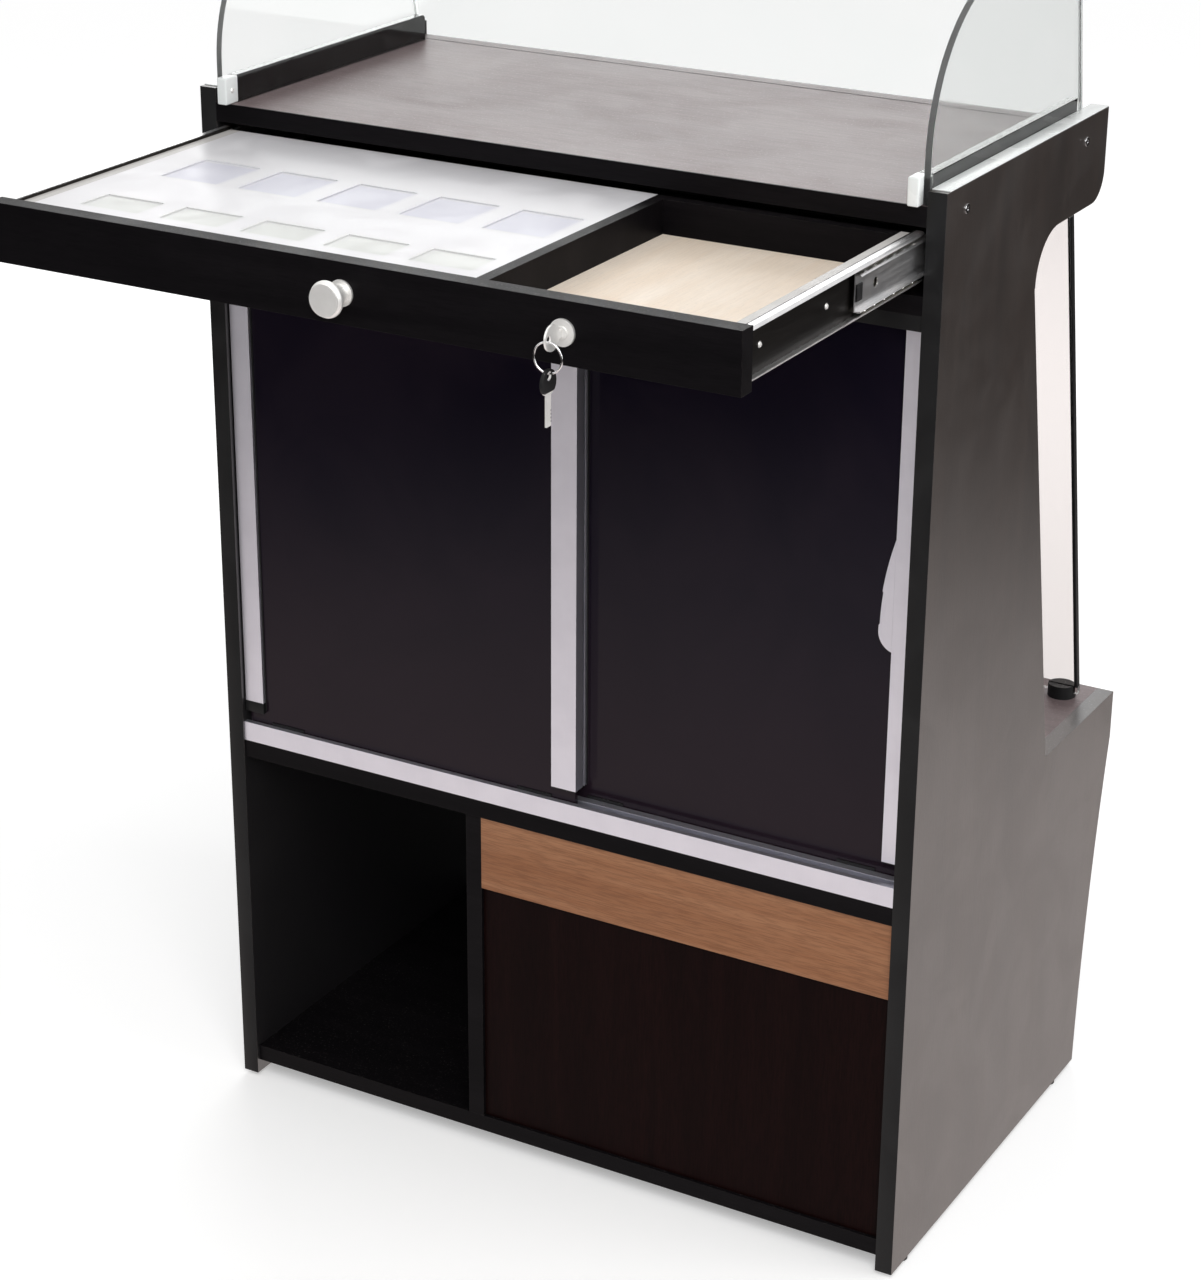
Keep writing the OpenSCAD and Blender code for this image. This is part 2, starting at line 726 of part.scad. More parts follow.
/* ---- lock and keys ---- */
core_back = front_t + 5;
module lock_barrel() {
  color([0.78, 0.78, 0.78]) at_cab() translate([lock_x, front_y, lock_z]) rotate([90, 0, 0])
    difference() {
      union() {
        translate([0, 0, -core_back + 2]) cylinder(d = lock_d, h = core_back);
        cylinder(d = lock_d + 5, h = 2.5);
        translate([0, 0, -front_t - 3]) cylinder(d = lock_d + 6, h = 3, $fn = 6);
      }
      translate([0, 0, -core_back - 1]) cylinder(r = core_d / 2 + core_gap, h = core_back + 8);
    }
}
key_w = 7;
key_t = 1.8;
module lock_core() {
  color([0.70, 0.68, 0.62]) at_cab() translate([lock_x, front_y, lock_z]) rotate([90, 0, 0])
    difference() {
      translate([0, 0, -core_back]) cylinder(d = core_d, h = core_back + core_out - 0.6);
      translate([-key_t / 2 - 0.1, -key_w / 2 - 0.2, -14])
        cube([key_t + 0.2, key_w + 0.4, 40]);
    }
}
cam_t = 2.5;
cam_len = 36;
module lock_cam() {
  color([0.60, 0.60, 0.60]) at_cab()
    translate([lock_x, front_y + core_back, lock_z]) rotate([90, 0, 0]) translate([0, 0, -cam_t])
      linear_extrude(cam_t) union() {
        circle(d = 15);
        translate([-cam_len, -6]) square([cam_len, 12]);
      }
}
module key_plate(shank) {
  difference() {
    union() {
      circle(bow_r, $fn = 64);
      translate([-key_w / 2, -bow_r - shank]) square([key_w, shank + 2]);
    }
    translate([0, hole_up]) circle(hole_r, $fn = 48);
    for (i = [1 : 4])
      translate([key_w / 2 + 0.3, -bow_r - shank + 1 + i * 3]) circle(1.1, $fn = 24);
  }
}
key_y = front_y - key_reach;
module key() {
  color([0.82, 0.82, 0.80]) at_cab()
    translate([lock_x - key_t / 2, key_y, lock_z]) rotate([90, 0, 90]) linear_extrude(key_t)
      rotate(90) key_plate(shank + blade_len - 6);
}
hook_y = front_y - hook_reach;
hook_gap = 0.3;
ring_z = lock_z - hole_r + ring_wire_r + hook_gap - ring_r - ring_wire_r;
module key_ring() {
  color([0.80, 0.80, 0.80]) at_cab() translate([lock_x, hook_y, ring_z]) rotate([90, 0, 0])
    rotate_extrude($fn = 96) translate([ring_r + ring_wire_r, 0]) circle(ring_wire_r, $fn = 32);
}
// the spare key hangs on the ring's lowest point
spare_z = ring_z - ring_r - ring_wire_r;
module spare_key() {
  color([0.70, 0.70, 0.66]) at_cab()
    translate([lock_x - key_t / 2, hook_y, spare_z - hole_up - hole_r + ring_wire_r + hook_gap])
      rotate([90, 0, 90]) linear_extrude(key_t) key_plate(26);
}

/* ---- doors ---- */
// x0 and x1 are the door's outer edges, y its front face
door_r = [meeting_x - meeting_w / 2, in_x - door_gap];
door_l = [-in_x + door_gap, meeting_x + meeting_w / 2];
glass_low = deck_top + 8;
glass_high = rail_z - 4;
module door_glass(x, y) {
  mid = y + stile_d / 2;
  color([0.08, 0.07, 0.09, 0.85]) at_cab()
    block(x[0] + 3, x[1] - 3, mid - glass_t / 2, mid + glass_t / 2, glass_low, glass_high);
}
module stile(x0, w, y, open_right) {
  mid = y + stile_d / 2;
  difference() {
    block(x0, x0 + w, y, y + stile_d, door_low, door_high);
    block(open_right ? x0 + 3 : x0 - 1, open_right ? x0 + w + 1 : x0 + w - 3,
      mid - glass_t / 2, mid + glass_t / 2, door_low - 1, door_high + 1);
  }
}
module door_shoes(x, y) {
  mid = y + stile_d / 2;
  color([0.05, 0.05, 0.05]) at_cab() for (cx = [x[0] + 50, x[1] - 50])
    difference() {
      block(cx - 20, cx + 20, mid - channel_w / 2 + 0.4, mid + channel_w / 2 - 0.4,
        deck_top + 3.3, track_top + 3);
      block(cx - 21, cx + 21, mid - glass_t / 2, mid + glass_t / 2, glass_low, track_top + 9);
    }
}
module door_glass_right() { door_glass(door_r, door_rear_y); }
module door_glass_left() { door_glass(door_l, door_front_y); }
module door_stiles_right() {
  color([0.70, 0.69, 0.71]) at_cab() {
    stile(door_r[0], meeting_w, door_rear_y, true);
    stile(door_r[1] - stile_w, stile_w, door_rear_y, false);
  }
}
module door_stiles_left() {
  color([0.70, 0.69, 0.71]) at_cab() {
    stile(door_l[0], stile_w, door_front_y, true);
    stile(door_l[1] - meeting_w, meeting_w, door_front_y, false);
  }
}
module door_shoes_right() { door_shoes(door_r, door_rear_y); }
module door_shoes_left() { door_shoes(door_l, door_front_y); }
// a flat finger pull that swells out of the right stile's inner edge, over the glass
pull_out = 14;
pull_t = (stile_d - glass_t) / 2;
pull_low = 20;
dish_r = 34;
dish_in = 6;
dish_floor = 2;
// a long arc from the top runs into a short round end below
module pull_outline() {
  rise = pull_h - pull_low;
  long_r = (rise * rise + pull_out * pull_out) / (2 * pull_out);
  intersection() {
    translate([long_r - pull_out, pull_low]) circle(long_r, $fn = 720);
    translate([-pull_out, pull_low]) square([pull_out, rise]);
  }
  intersection() {
    translate([pull_low - pull_out, pull_low]) circle(pull_low, $fn = 96);
    translate([-pull_out, 0]) square([pull_out, pull_low + 0.1]);
  }
}
module door_pull() {
  color([0.70, 0.69, 0.71]) at_cab()
    translate([door_r[1] - stile_w, door_rear_y + pull_t, pull_z - pull_h / 2])
      rotate([90, 0, 0]) difference() {
        linear_extrude(pull_t) pull_outline();
        // hollow for the fingertips
        translate([dish_in - dish_r - pull_out, pull_h * 0.4, dish_floor])
          cylinder(r = dish_r, h = pull_t, $fn = 96);
      }
}

side_panel_left();
side_panel_right();
worktop();
worktop_edging();
drawer_rail();
nose_shell();
back_board();
deck();
shelf();
shelf_pins();
ledge_board();
ledge_fascia();
lower_back();
base_board();
partition();
wood_rail();
service_panel();
glides();
bottom_track();
top_track();
worktop_screws();
guard_wing_left();
guard_wing_right();
guard_back();
guard_clips();
guard_bars();
audience_sheet();
audience_feet();
audience_holders();
slide_fixed_left();
slide_fixed_right();
slide_middle_left();
slide_middle_right();
slide_drawer_left();
slide_drawer_right();
cages_inner();
balls_inner();
cages_outer();
balls_outer();
drawer_front();
drawer_side_left();
drawer_side_right();
drawer_back();
drawer_bottom();
drawer_divider();
drawer_board();
knob();
lock_barrel();
lock_core();
lock_cam();
key();
key_ring();
spare_key();
door_glass_left();
door_glass_right();
door_stiles_left();
door_stiles_right();
door_shoes_left();
door_shoes_right();
door_pull();
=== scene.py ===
import bpy
import bmesh
import json
import math
from mathutils import Matrix, Vector


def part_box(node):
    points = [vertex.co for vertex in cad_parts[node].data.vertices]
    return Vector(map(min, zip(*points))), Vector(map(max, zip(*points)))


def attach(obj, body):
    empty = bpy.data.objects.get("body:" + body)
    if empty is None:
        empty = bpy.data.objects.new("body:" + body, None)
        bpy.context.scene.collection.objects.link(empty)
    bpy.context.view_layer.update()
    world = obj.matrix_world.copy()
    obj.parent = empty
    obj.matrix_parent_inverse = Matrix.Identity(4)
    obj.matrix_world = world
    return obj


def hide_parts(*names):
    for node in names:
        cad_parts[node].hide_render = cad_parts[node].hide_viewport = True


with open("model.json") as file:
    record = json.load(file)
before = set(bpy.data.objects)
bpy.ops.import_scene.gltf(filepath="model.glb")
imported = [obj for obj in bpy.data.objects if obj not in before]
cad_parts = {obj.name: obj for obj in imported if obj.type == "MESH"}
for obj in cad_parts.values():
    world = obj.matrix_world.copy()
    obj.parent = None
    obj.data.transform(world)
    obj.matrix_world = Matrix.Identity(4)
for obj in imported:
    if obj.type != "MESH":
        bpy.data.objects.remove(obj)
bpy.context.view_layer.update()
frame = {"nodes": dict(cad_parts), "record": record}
MM = 0.001

# ---------------------------------------------------------------- shader groups


def new_group(name, inputs, outputs):
    """An empty shader node group with named inputs and outputs."""
    tree = bpy.data.node_groups.new(name, "ShaderNodeTree")
    for label, kind, value in inputs:
        s = tree.interface.new_socket(label, in_out="INPUT", socket_type=kind)
        if value is not None:
            s.default_value = value
    for label, kind in outputs:
        tree.interface.new_socket(label, in_out="OUTPUT", socket_type=kind)
    return tree, tree.nodes.new("NodeGroupInput"), tree.nodes.new("NodeGroupOutput")


def add(tree, kind, links=None, **settings):
    """A node with its plain settings, and its inputs linked or set by name or number."""
    n = tree.nodes.new(kind)
    for key, value in settings.items():
        setattr(n, key, value)
    for key, value in (links or {}).items():
        if isinstance(value, bpy.types.NodeSocket):
            tree.links.new(value, n.inputs[key])
        else:
            n.inputs[key].default_value = value
    return n


def math_node(tree, op, a, b=None, clamp=False):
    """The result of one operation on sockets or plain numbers."""
    links = {0: a}
    if b is not None:
        links[1] = b
    return add(tree, "ShaderNodeMath", links, operation=op, use_clamp=clamp).outputs[0]


def mix_colour(tree, factor, a, b):
    """Two colours mixed by a factor; each is a socket or a plain value."""
    n = tree.nodes.new("ShaderNodeMix")
    n.data_type = "RGBA"
    for i, value in ((0, factor), (6, a), (7, b)):
        if isinstance(value, bpy.types.NodeSocket):
            tree.links.new(value, n.inputs[i])
        else:
            n.inputs[i].default_value = value
    return n.outputs[2]


def ramp(tree, value, low, high, to_low=0.0, to_high=1.0, smooth=True):
    """A value carried from one range to another and held at both ends."""
    n = add(
        tree,
        "ShaderNodeMapRange",
        {0: value, 1: low, 2: high, 3: to_low, 4: to_high},
        interpolation_type="SMOOTHSTEP" if smooth else "LINEAR",
    )
    return n.outputs[0]


def make_wood_grain():
    """Long pores and soft bands that run along one axis of the board."""
    tree, gi, go = new_group(
        "board_grain",
        [
            ("Stretch", "NodeSocketVector", (1.0, 1.0, 0.06)),
            ("Pore Scale", "NodeSocketFloat", 900.0),
            ("Band Scale", "NodeSocketFloat", 26.0),
        ],
        [("Pores", "NodeSocketFloat"), ("Bands", "NodeSocketFloat")],
    )
    co = add(tree, "ShaderNodeTexCoord").outputs["Object"]
    m = add(tree, "ShaderNodeVectorMath", {0: co, 1: gi.outputs["Stretch"]}, operation="MULTIPLY")
    pores = add(
        tree,
        "ShaderNodeTexNoise",
        {"Vector": m.outputs[0], "Scale": gi.outputs["Pore Scale"], "Detail": 3.0, "Roughness": 0.6},
    )
    bands = add(
        tree,
        "ShaderNodeTexNoise",
        {
            "Vector": m.outputs[0],
            "Scale": gi.outputs["Band Scale"],
            "Detail": 6.0,
            "Roughness": 0.65,
            "Distortion": 0.6,
        },
    )
    tree.links.new(ramp(tree, pores.outputs[0], 0.42, 0.62), go.inputs["Pores"])
    tree.links.new(ramp(tree, bands.outputs[0], 0.3, 0.7), go.inputs["Bands"])
    return tree


def make_handling():
    """Faint smears and settled dust, larger marks over small ones."""
    tree, gi, go = new_group(
        "handling_marks",
        [("Scale", "NodeSocketFloat", 9.0), ("Dust Scale", "NodeSocketFloat", 420.0)],
        [("Smears", "NodeSocketFloat"), ("Dust", "NodeSocketFloat")],
    )
    co = add(tree, "ShaderNodeTexCoord").outputs["Object"]
    large = add(
        tree,
        "ShaderNodeTexNoise",
        {"Vector": co, "Scale": gi.outputs["Scale"], "Detail": 5.0, "Distortion": 1.2},
    )
    fine = add(
        tree,
        "ShaderNodeTexNoise",
        {"Vector": co, "Scale": gi.outputs["Dust Scale"], "Detail": 2.0},
    )
    facing = add(tree, "ShaderNodeNewGeometry").outputs["Normal"]
    up = add(tree, "ShaderNodeSeparateXYZ", {0: facing}).outputs[2]
    lies = ramp(tree, up, 0.5, 0.95)
    specks = ramp(tree, fine.outputs[0], 0.6, 0.72)
    patches = math_node(tree, "MULTIPLY", specks, large.outputs[0])
    dust = math_node(tree, "MULTIPLY", patches, lies)
    tree.links.new(ramp(tree, large.outputs[0], 0.35, 0.7), go.inputs["Smears"])
    tree.links.new(dust, go.inputs["Dust"])
    return tree


def make_edge_wear():
    """How near a surface point is to a sharp edge, broken up by small chips."""
    tree, gi, go = new_group(
        "edge_wear",
        [("Width", "NodeSocketFloat", 0.0012), ("Chip Scale", "NodeSocketFloat", 160.0)],
        [("Wear", "NodeSocketFloat")],
    )
    round_n = add(tree, "ShaderNodeBevel", {"Radius": gi.outputs["Width"]}, samples=4)
    flat_n = add(tree, "ShaderNodeNewGeometry")
    dot = add(
        tree,
        "ShaderNodeVectorMath",
        {0: round_n.outputs[0], 1: flat_n.outputs["Normal"]},
        operation="DOT_PRODUCT",
    )
    edge = ramp(tree, dot.outputs["Value"], 0.997, 0.86)
    co = add(tree, "ShaderNodeTexCoord").outputs["Object"]
    chips = add(
        tree,
        "ShaderNodeTexNoise",
        {"Vector": co, "Scale": gi.outputs["Chip Scale"], "Detail": 4.0, "Roughness": 0.7},
    )
    chipped = ramp(tree, chips.outputs[0], 0.42, 0.62)
    tree.links.new(math_node(tree, "MULTIPLY", edge, chipped), go.inputs["Wear"])
    return tree


def make_brushed():
    """Fine lines of drawn or brushed metal along one axis, and blotches of tone."""
    tree, gi, go = new_group(
        "drawn_lines",
        [("Stretch", "NodeSocketVector", (1.0, 1.0, 0.01)), ("Scale", "NodeSocketFloat", 1500.0)],
        [("Lines", "NodeSocketFloat"), ("Blotches", "NodeSocketFloat")],
    )
    co = add(tree, "ShaderNodeTexCoord").outputs["Object"]
    m = add(tree, "ShaderNodeVectorMath", {0: co, 1: gi.outputs["Stretch"]}, operation="MULTIPLY")
    lines = add(
        tree,
        "ShaderNodeTexNoise",
        {"Vector": m.outputs[0], "Scale": gi.outputs["Scale"], "Detail": 2.0, "Roughness": 0.7},
    )
    blotch = add(tree, "ShaderNodeTexNoise", {"Vector": co, "Scale": 30.0, "Detail": 4.0})
    tree.links.new(lines.outputs[0], go.inputs["Lines"])
    tree.links.new(ramp(tree, blotch.outputs[0], 0.3, 0.7), go.inputs["Blotches"])
    return tree


GRAIN = make_wood_grain()
HANDLING = make_handling()
EDGE = make_edge_wear()
DRAWN = make_brushed()


def place(tree, group, **values):
    """A shader group placed in a material with its own values."""
    n = tree.nodes.new("ShaderNodeGroup")
    n.node_tree = group
    for key, value in values.items():
        n.inputs[key.replace("_", " ")].default_value = value
    return n


# ---------------------------------------------------------------- materials
MATERIALS = {}
BLACK_EDGE = (0.012, 0.011, 0.012, 1.0)
# Colour of the painted shade inside the slides' channels, laid on the drawer members' webs.
CHANNEL_SHADE = (0.035, 0.031, 0.029, 1.0)

# The grain or the drawn lines run along the axis with the small number.
UPRIGHT = (1.0, 1.0, 0.05)
ACROSS = (0.05, 1.0, 1.0)
DEEP = (1.0, 0.05, 1.0)


def start(name, rough=0.5, metallic=0.0, ior=1.5, gloss=0.5):
    """A material with a Principled shader whose constant values sit on its own sockets."""
    mat = bpy.data.materials.new(name)
    mat.use_nodes = True
    bsdf = mat.node_tree.nodes["Principled BSDF"]
    bsdf.inputs["Roughness"].default_value = rough
    bsdf.inputs["Metallic"].default_value = metallic
    bsdf.inputs["IOR"].default_value = ior
    bsdf.inputs["Specular IOR Level"].default_value = gloss
    MATERIALS[name] = mat
    return mat.node_tree, bsdf


def object_axis(tree, axis):
    """The place on the object along X, Y or Z, for 0, 1 or 2."""
    co = add(tree, "ShaderNodeTexCoord").outputs["Object"]
    return add(tree, "ShaderNodeSeparateXYZ", {0: co}).outputs[axis]


def distance_from(tree, value, centre):
    """How far a value lies from a centre, on either side."""
    return math_node(tree, "ABSOLUTE", math_node(tree, "SUBTRACT", value, centre))


def cover(tree, mask, amount, under, over):
    """One colour laid over another where a mask says, up to an amount."""
    return mix_colour(tree, math_node(tree, "MULTIPLY", mask, amount), under, over)


def vary_rough(tree, bsdf, value, rough, low=0.0, high=1.0):
    """Roughness that follows a value between two limits."""
    tree.links.new(ramp(tree, value, low, high, rough[0], rough[1], smooth=False), bsdf.inputs["Roughness"])


def bump(tree, bsdf, height, strength, distance, rounded):
    """Relief from a height, over an edge softened by a small radius."""
    soft_edge = add(tree, "ShaderNodeBevel", {"Radius": rounded}, samples=4)
    relief = add(tree, "ShaderNodeBump", {"Height": height, "Strength": strength, "Distance": distance})
    tree.links.new(soft_edge.outputs[0], relief.inputs["Normal"])
    tree.links.new(relief.outputs[0], bsdf.inputs["Normal"])


def board(name, dark, light, grain_axis, pores=0.25, rough=(0.36, 0.52), bands=26.0, pore_scale=900.0,
          relief=0.12, wear=(0.3, 0.25, 0.22, 1.0), wear_amount=0.35, dust=(0.5, 0.48, 0.46, 1.0),
          shade=None, gloss=0.5, ior=1.5):
    """Wood-look or plain laminate board with worn edges and a little dust on top."""
    pore_tone = 0.45
    dust_amount = 0.5
    tree, bsdf = start(name, gloss=gloss, ior=ior)
    grain = place(tree, GRAIN, Stretch=grain_axis, Pore_Scale=pore_scale, Band_Scale=bands)
    marks = place(tree, HANDLING)
    worn = place(tree, EDGE)
    col = mix_colour(tree, grain.outputs["Bands"], dark, light)
    pore_colour = tuple(c * pore_tone for c in dark[:3]) + (1.0,)
    col = cover(tree, grain.outputs["Pores"], pores, col, pore_colour)
    if shade:
        col = shade(tree, col)
    col = cover(tree, worn.outputs["Wear"], wear_amount, col, wear)
    col = cover(tree, marks.outputs["Dust"], dust_amount, col, dust)
    tree.links.new(col, bsdf.inputs["Base Color"])
    vary_rough(tree, bsdf, marks.outputs["Smears"], rough)
    bump(tree, bsdf, grain.outputs["Pores"], relief, 0.2 * MM, 0.7 * MM)


def metal(name, colour, dark, drawn_axis, rough=(0.25, 0.42), lines=0.12, wear=None, shade=None,
          rounded=0.4 * MM, metallic=1.0):
    """Drawn or brushed metal; below full metallic its satin plating spreads the light."""
    wear_amount = 0.6
    tree, bsdf = start(name, metallic=metallic)
    drawn = place(tree, DRAWN, Stretch=drawn_axis)
    col = mix_colour(tree, drawn.outputs["Blotches"], dark, colour)
    if shade:
        col = shade(tree, col)
    if wear:
        worn = place(tree, EDGE, Width=0.6 * MM)
        col = cover(tree, worn.outputs["Wear"], wear_amount, col, wear)
    tree.links.new(col, bsdf.inputs["Base Color"])
    vary_rough(tree, bsdf, drawn.outputs["Lines"], rough, 0.3, 0.7)
    bump(tree, bsdf, drawn.outputs["Lines"], lines, 0.1 * MM, rounded)


def plastic(name, colour, tone, rough=(0.35, 0.5), relief=0.2, gloss=0.5):
    """Moulded plastic with a fine even texture."""
    skin_scale = 1400.0
    dust_amount = 0.6
    tree, bsdf = start(name, gloss=gloss)
    co = add(tree, "ShaderNodeTexCoord").outputs["Object"]
    skin = add(tree, "ShaderNodeTexNoise", {"Vector": co, "Scale": skin_scale, "Detail": 2.0})
    marks = place(tree, HANDLING)
    col = mix_colour(tree, marks.outputs["Smears"], colour, tone)
    col = cover(tree, marks.outputs["Dust"], dust_amount, col, (0.4, 0.39, 0.38, 1.0))
    tree.links.new(col, bsdf.inputs["Base Color"])
    vary_rough(tree, bsdf, marks.outputs["Smears"], rough)
    bump(tree, bsdf, skin.outputs[0], relief, 0.1 * MM, 0.6 * MM)


def black_inside(inner_x):
    """The faces that look into the cabinet have a black laminate."""
    def apply(tree, col):
        out_x = math_node(tree, "ABSOLUTE", object_axis(tree, 0))
        inner = ramp(tree, out_x, inner_x + 1.0 * MM, inner_x + 0.5 * MM)
        return mix_colour(tree, inner, col, BLACK_EDGE)
    return apply


def painted_web_shade(web_x):
    """The flat web of a drawer member is painted dark, a painted shade of the inside of its channel; its
    bright lips are not.
    """
    def apply(tree, col):
        out_x = math_node(tree, "ABSOLUTE", object_axis(tree, 0))
        web = ramp(tree, out_x, web_x + 1.9 * MM, web_x + 1.4 * MM)
        return mix_colour(tree, web, col, CHANNEL_SHADE)
    return apply


def cabinet_boards():
    """Side panels, worktop, the black boards and the panel of the closed bay."""
    board("dark_laminate", (0.016, 0.0105, 0.0085, 1), (0.026, 0.0175, 0.014, 1), UPRIGHT,
          pores=0.5, rough=(0.34, 0.39), relief=0.2, gloss=0.78, ior=1.7,
          shade=black_inside(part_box("side_panel_right")[0][0]))
    board("grey_laminate", (0.180, 0.137, 0.140, 1), (0.212, 0.165, 0.167, 1), ACROSS,
          pores=0.26, rough=(0.38, 0.44), bands=14.0, pore_scale=520.0,
          wear=(0.5, 0.46, 0.45, 1), gloss=0.25)
    board("black_board", (0.004, 0.0035, 0.0042, 1), (0.007, 0.006, 0.007, 1), ACROSS,
          pores=0.3, rough=(0.36, 0.44), wear=(0.06, 0.055, 0.05, 1), wear_amount=0.25,
          dust=(0.12, 0.115, 0.11, 1), gloss=0.05)
    board("red_brown_board", (0.005, 0.0014, 0.0014, 1), (0.009, 0.0026, 0.0024, 1), UPRIGHT,
          pores=0.5, rough=(0.4, 0.5), wear=(0.05, 0.028, 0.025, 1), gloss=0.04)


def pale_boards():
    """The wood rail, the drawer's bottom and the drawer's sides."""
    board("orange_wood", (0.27, 0.108, 0.046, 1), (0.37, 0.172, 0.085, 1), ACROSS,
          pores=0.4, rough=(0.42, 0.58), bands=40.0, wear=(0.5, 0.3, 0.2, 1), gloss=0.3)
    board("beech", (0.92, 0.77, 0.62, 1), (0.97, 0.85, 0.72, 1), DEEP,
          pores=0.10, rough=(0.45, 0.6), wear=(0.95, 0.85, 0.75, 1))
    board("pale_melamine", (0.50, 0.48, 0.46, 1), (0.60, 0.58, 0.56, 1), DEEP,
          pores=0.08, rough=(0.4, 0.55), wear=(0.7, 0.66, 0.6, 1))


def metals_and_plastics():
    """Door frames, slides, lock and keys, and the moulded parts."""
    metal("aluminium_satin", (0.76, 0.76, 0.83, 1), (0.72, 0.72, 0.79, 1), (1.0, 1.0, 0.01),
          rough=(0.4, 0.5))
    plastic("black_plastic", (0.009, 0.009, 0.0095, 1), (0.014, 0.014, 0.0145, 1), gloss=0.15)
    plastic("clip_plastic", (0.80, 0.83, 0.82, 1), (0.88, 0.90, 0.89, 1), rough=(0.2, 0.32), relief=0.05)
    # The zinc steel's drawer-member webs carry a painted shade of the channel's inside.
    metal("zinc_steel", (0.80, 0.79, 0.79, 1), (0.66, 0.66, 0.67, 1), (1.0, 0.01, 1.0),
          rough=(0.28, 0.42), wear=(0.9, 0.9, 0.91, 1),
          shade=painted_web_shade(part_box("slide_drawer_right")[0][0]))
    metal("cage_steel", (0.42, 0.39, 0.33, 1), (0.30, 0.28, 0.24, 1), (1.0, 0.02, 1.0))
    metal("bright_steel", (0.92, 0.92, 0.93, 1), (0.84, 0.84, 0.86, 1), (1.0, 1.0, 1.0),
          rough=(0.12, 0.2), lines=0.02)
    metal("satin_nickel", (0.97, 0.96, 0.94, 1), (0.88, 0.87, 0.85, 1), (1.0, 1.0, 1.0),
          rough=(0.42, 0.54), lines=0.05, wear=(0.98, 0.97, 0.95, 1), rounded=0.5 * MM, metallic=0.7)


def white_board():
    """White sheet whose shallow wells are darker with a faint tint, cool in the far row and greenish in the
    near row; the darkening is painted shade in the recesses.
    """
    well_pitch = 0.086
    half_well = 0.031
    soft = 0.007
    columns = 5
    shift_x = 0.012
    near_row = (0.032, 0.040)
    far_row = (0.148, 0.070)
    tree, bsdf = start("white_board", gloss=0.3)
    x = object_axis(tree, 0)
    y = object_axis(tree, 1)
    lo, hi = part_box("drawer_board")
    centre_x = (lo[0] + hi[0]) / 2 + shift_x
    along = math_node(tree, "SUBTRACT", x, centre_x - well_pitch / 2)
    cell = math_node(tree, "FRACT", math_node(tree, "DIVIDE", along, well_pitch))
    off_middle = distance_from(tree, cell, 0.5)
    column = ramp(tree, off_middle, (half_well + soft) / well_pitch, (half_well - soft) / well_pitch)
    in_pattern = math_node(tree, "LESS_THAN", distance_from(tree, x, centre_x), columns / 2 * well_pitch)
    column = math_node(tree, "MULTIPLY", column, in_pattern)
    rows = []
    for from_front, deep in (near_row, far_row):
        off_row = distance_from(tree, y, lo[1] + from_front + deep / 2)
        rows.append(ramp(tree, off_row, deep / 2 + soft, deep / 2 - soft))
    # The wells are painted darker, a painted shade of the recesses, tinted cool in the far row and greenish
    # in the near row.
    in_well = math_node(tree, "MULTIPLY", column, math_node(tree, "MAXIMUM", rows[0], rows[1]))
    well_tint_and_shade = mix_colour(tree, rows[1], (0.61, 0.62, 0.595, 1), (0.575, 0.57, 0.65, 1))
    marks = place(tree, HANDLING, Scale=14.0)
    base = mix_colour(tree, marks.outputs["Smears"], (0.70, 0.69, 0.71, 1), (0.74, 0.73, 0.75, 1))
    tree.links.new(mix_colour(tree, in_well, base, well_tint_and_shade), bsdf.inputs["Base Color"])
    vary_rough(tree, bsdf, marks.outputs["Smears"], (0.3, 0.42))
    bump(tree, bsdf, marks.outputs["Dust"], 0.05, 0.1 * MM, 0.3 * MM)


def clear_sheet():
    """Clear acrylic with soft scuffs; the sheets' edges are ground and the bars stay polished."""
    ground_rough = 0.75
    tree, bsdf = start("clear_acrylic", rough=0.03, ior=1.49)
    bsdf.inputs["Transmission Weight"].default_value = 1.0
    marks = place(tree, HANDLING, Scale=6.0)
    col = mix_colour(tree, marks.outputs["Smears"], (0.955, 0.97, 0.962, 1), (0.97, 0.98, 0.974, 1))
    out_x = math_node(tree, "ABSOLUTE", object_axis(tree, 0))
    height = object_axis(tree, 2)
    true_normal = add(tree, "ShaderNodeNewGeometry").outputs["True Normal"]
    facing = add(tree, "ShaderNodeSeparateXYZ", {0: true_normal})
    worktop_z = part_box("worktop")[1][2]
    low_sheet = ramp(tree, height, worktop_z, worktop_z - 10 * MM)
    col = mix_colour(tree, low_sheet, col, (0.78, 0.73, 0.715, 1))
    wing_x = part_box("guard_wing_right")[0][0] - 0.2 * MM
    in_wing = ramp(tree, out_x, wing_x, wing_x + 0.1 * MM, smooth=False)
    across = math_node(tree, "ABSOLUTE", facing.outputs[0])
    along = math_node(tree, "ABSOLUTE", facing.outputs[1])
    face = add(tree, "ShaderNodeMix", {0: in_wing, 2: along, 3: across}, data_type="FLOAT").outputs[0]
    bars_z = worktop_z + 27 * MM
    over_bars = ramp(tree, height, bars_z - 0.5 * MM, bars_z + 0.5 * MM, smooth=False)
    sheet = math_node(tree, "MAXIMUM", in_wing, math_node(tree, "MAXIMUM", over_bars, low_sheet))
    ground = math_node(tree, "MULTIPLY", sheet, ramp(tree, face, 0.6, 0.4))
    col = mix_colour(tree, ground, col, (0.93, 0.96, 0.95, 1))
    tree.links.new(col, bsdf.inputs["Base Color"])
    polished = ramp(tree, marks.outputs["Smears"], 0.0, 1.0, 0.0, 0.05, smooth=False)
    rough = add(tree, "ShaderNodeMix", {0: ground, 2: polished, 3: ground_rough}, data_type="FLOAT")
    tree.links.new(rough.outputs[0], bsdf.inputs["Roughness"])


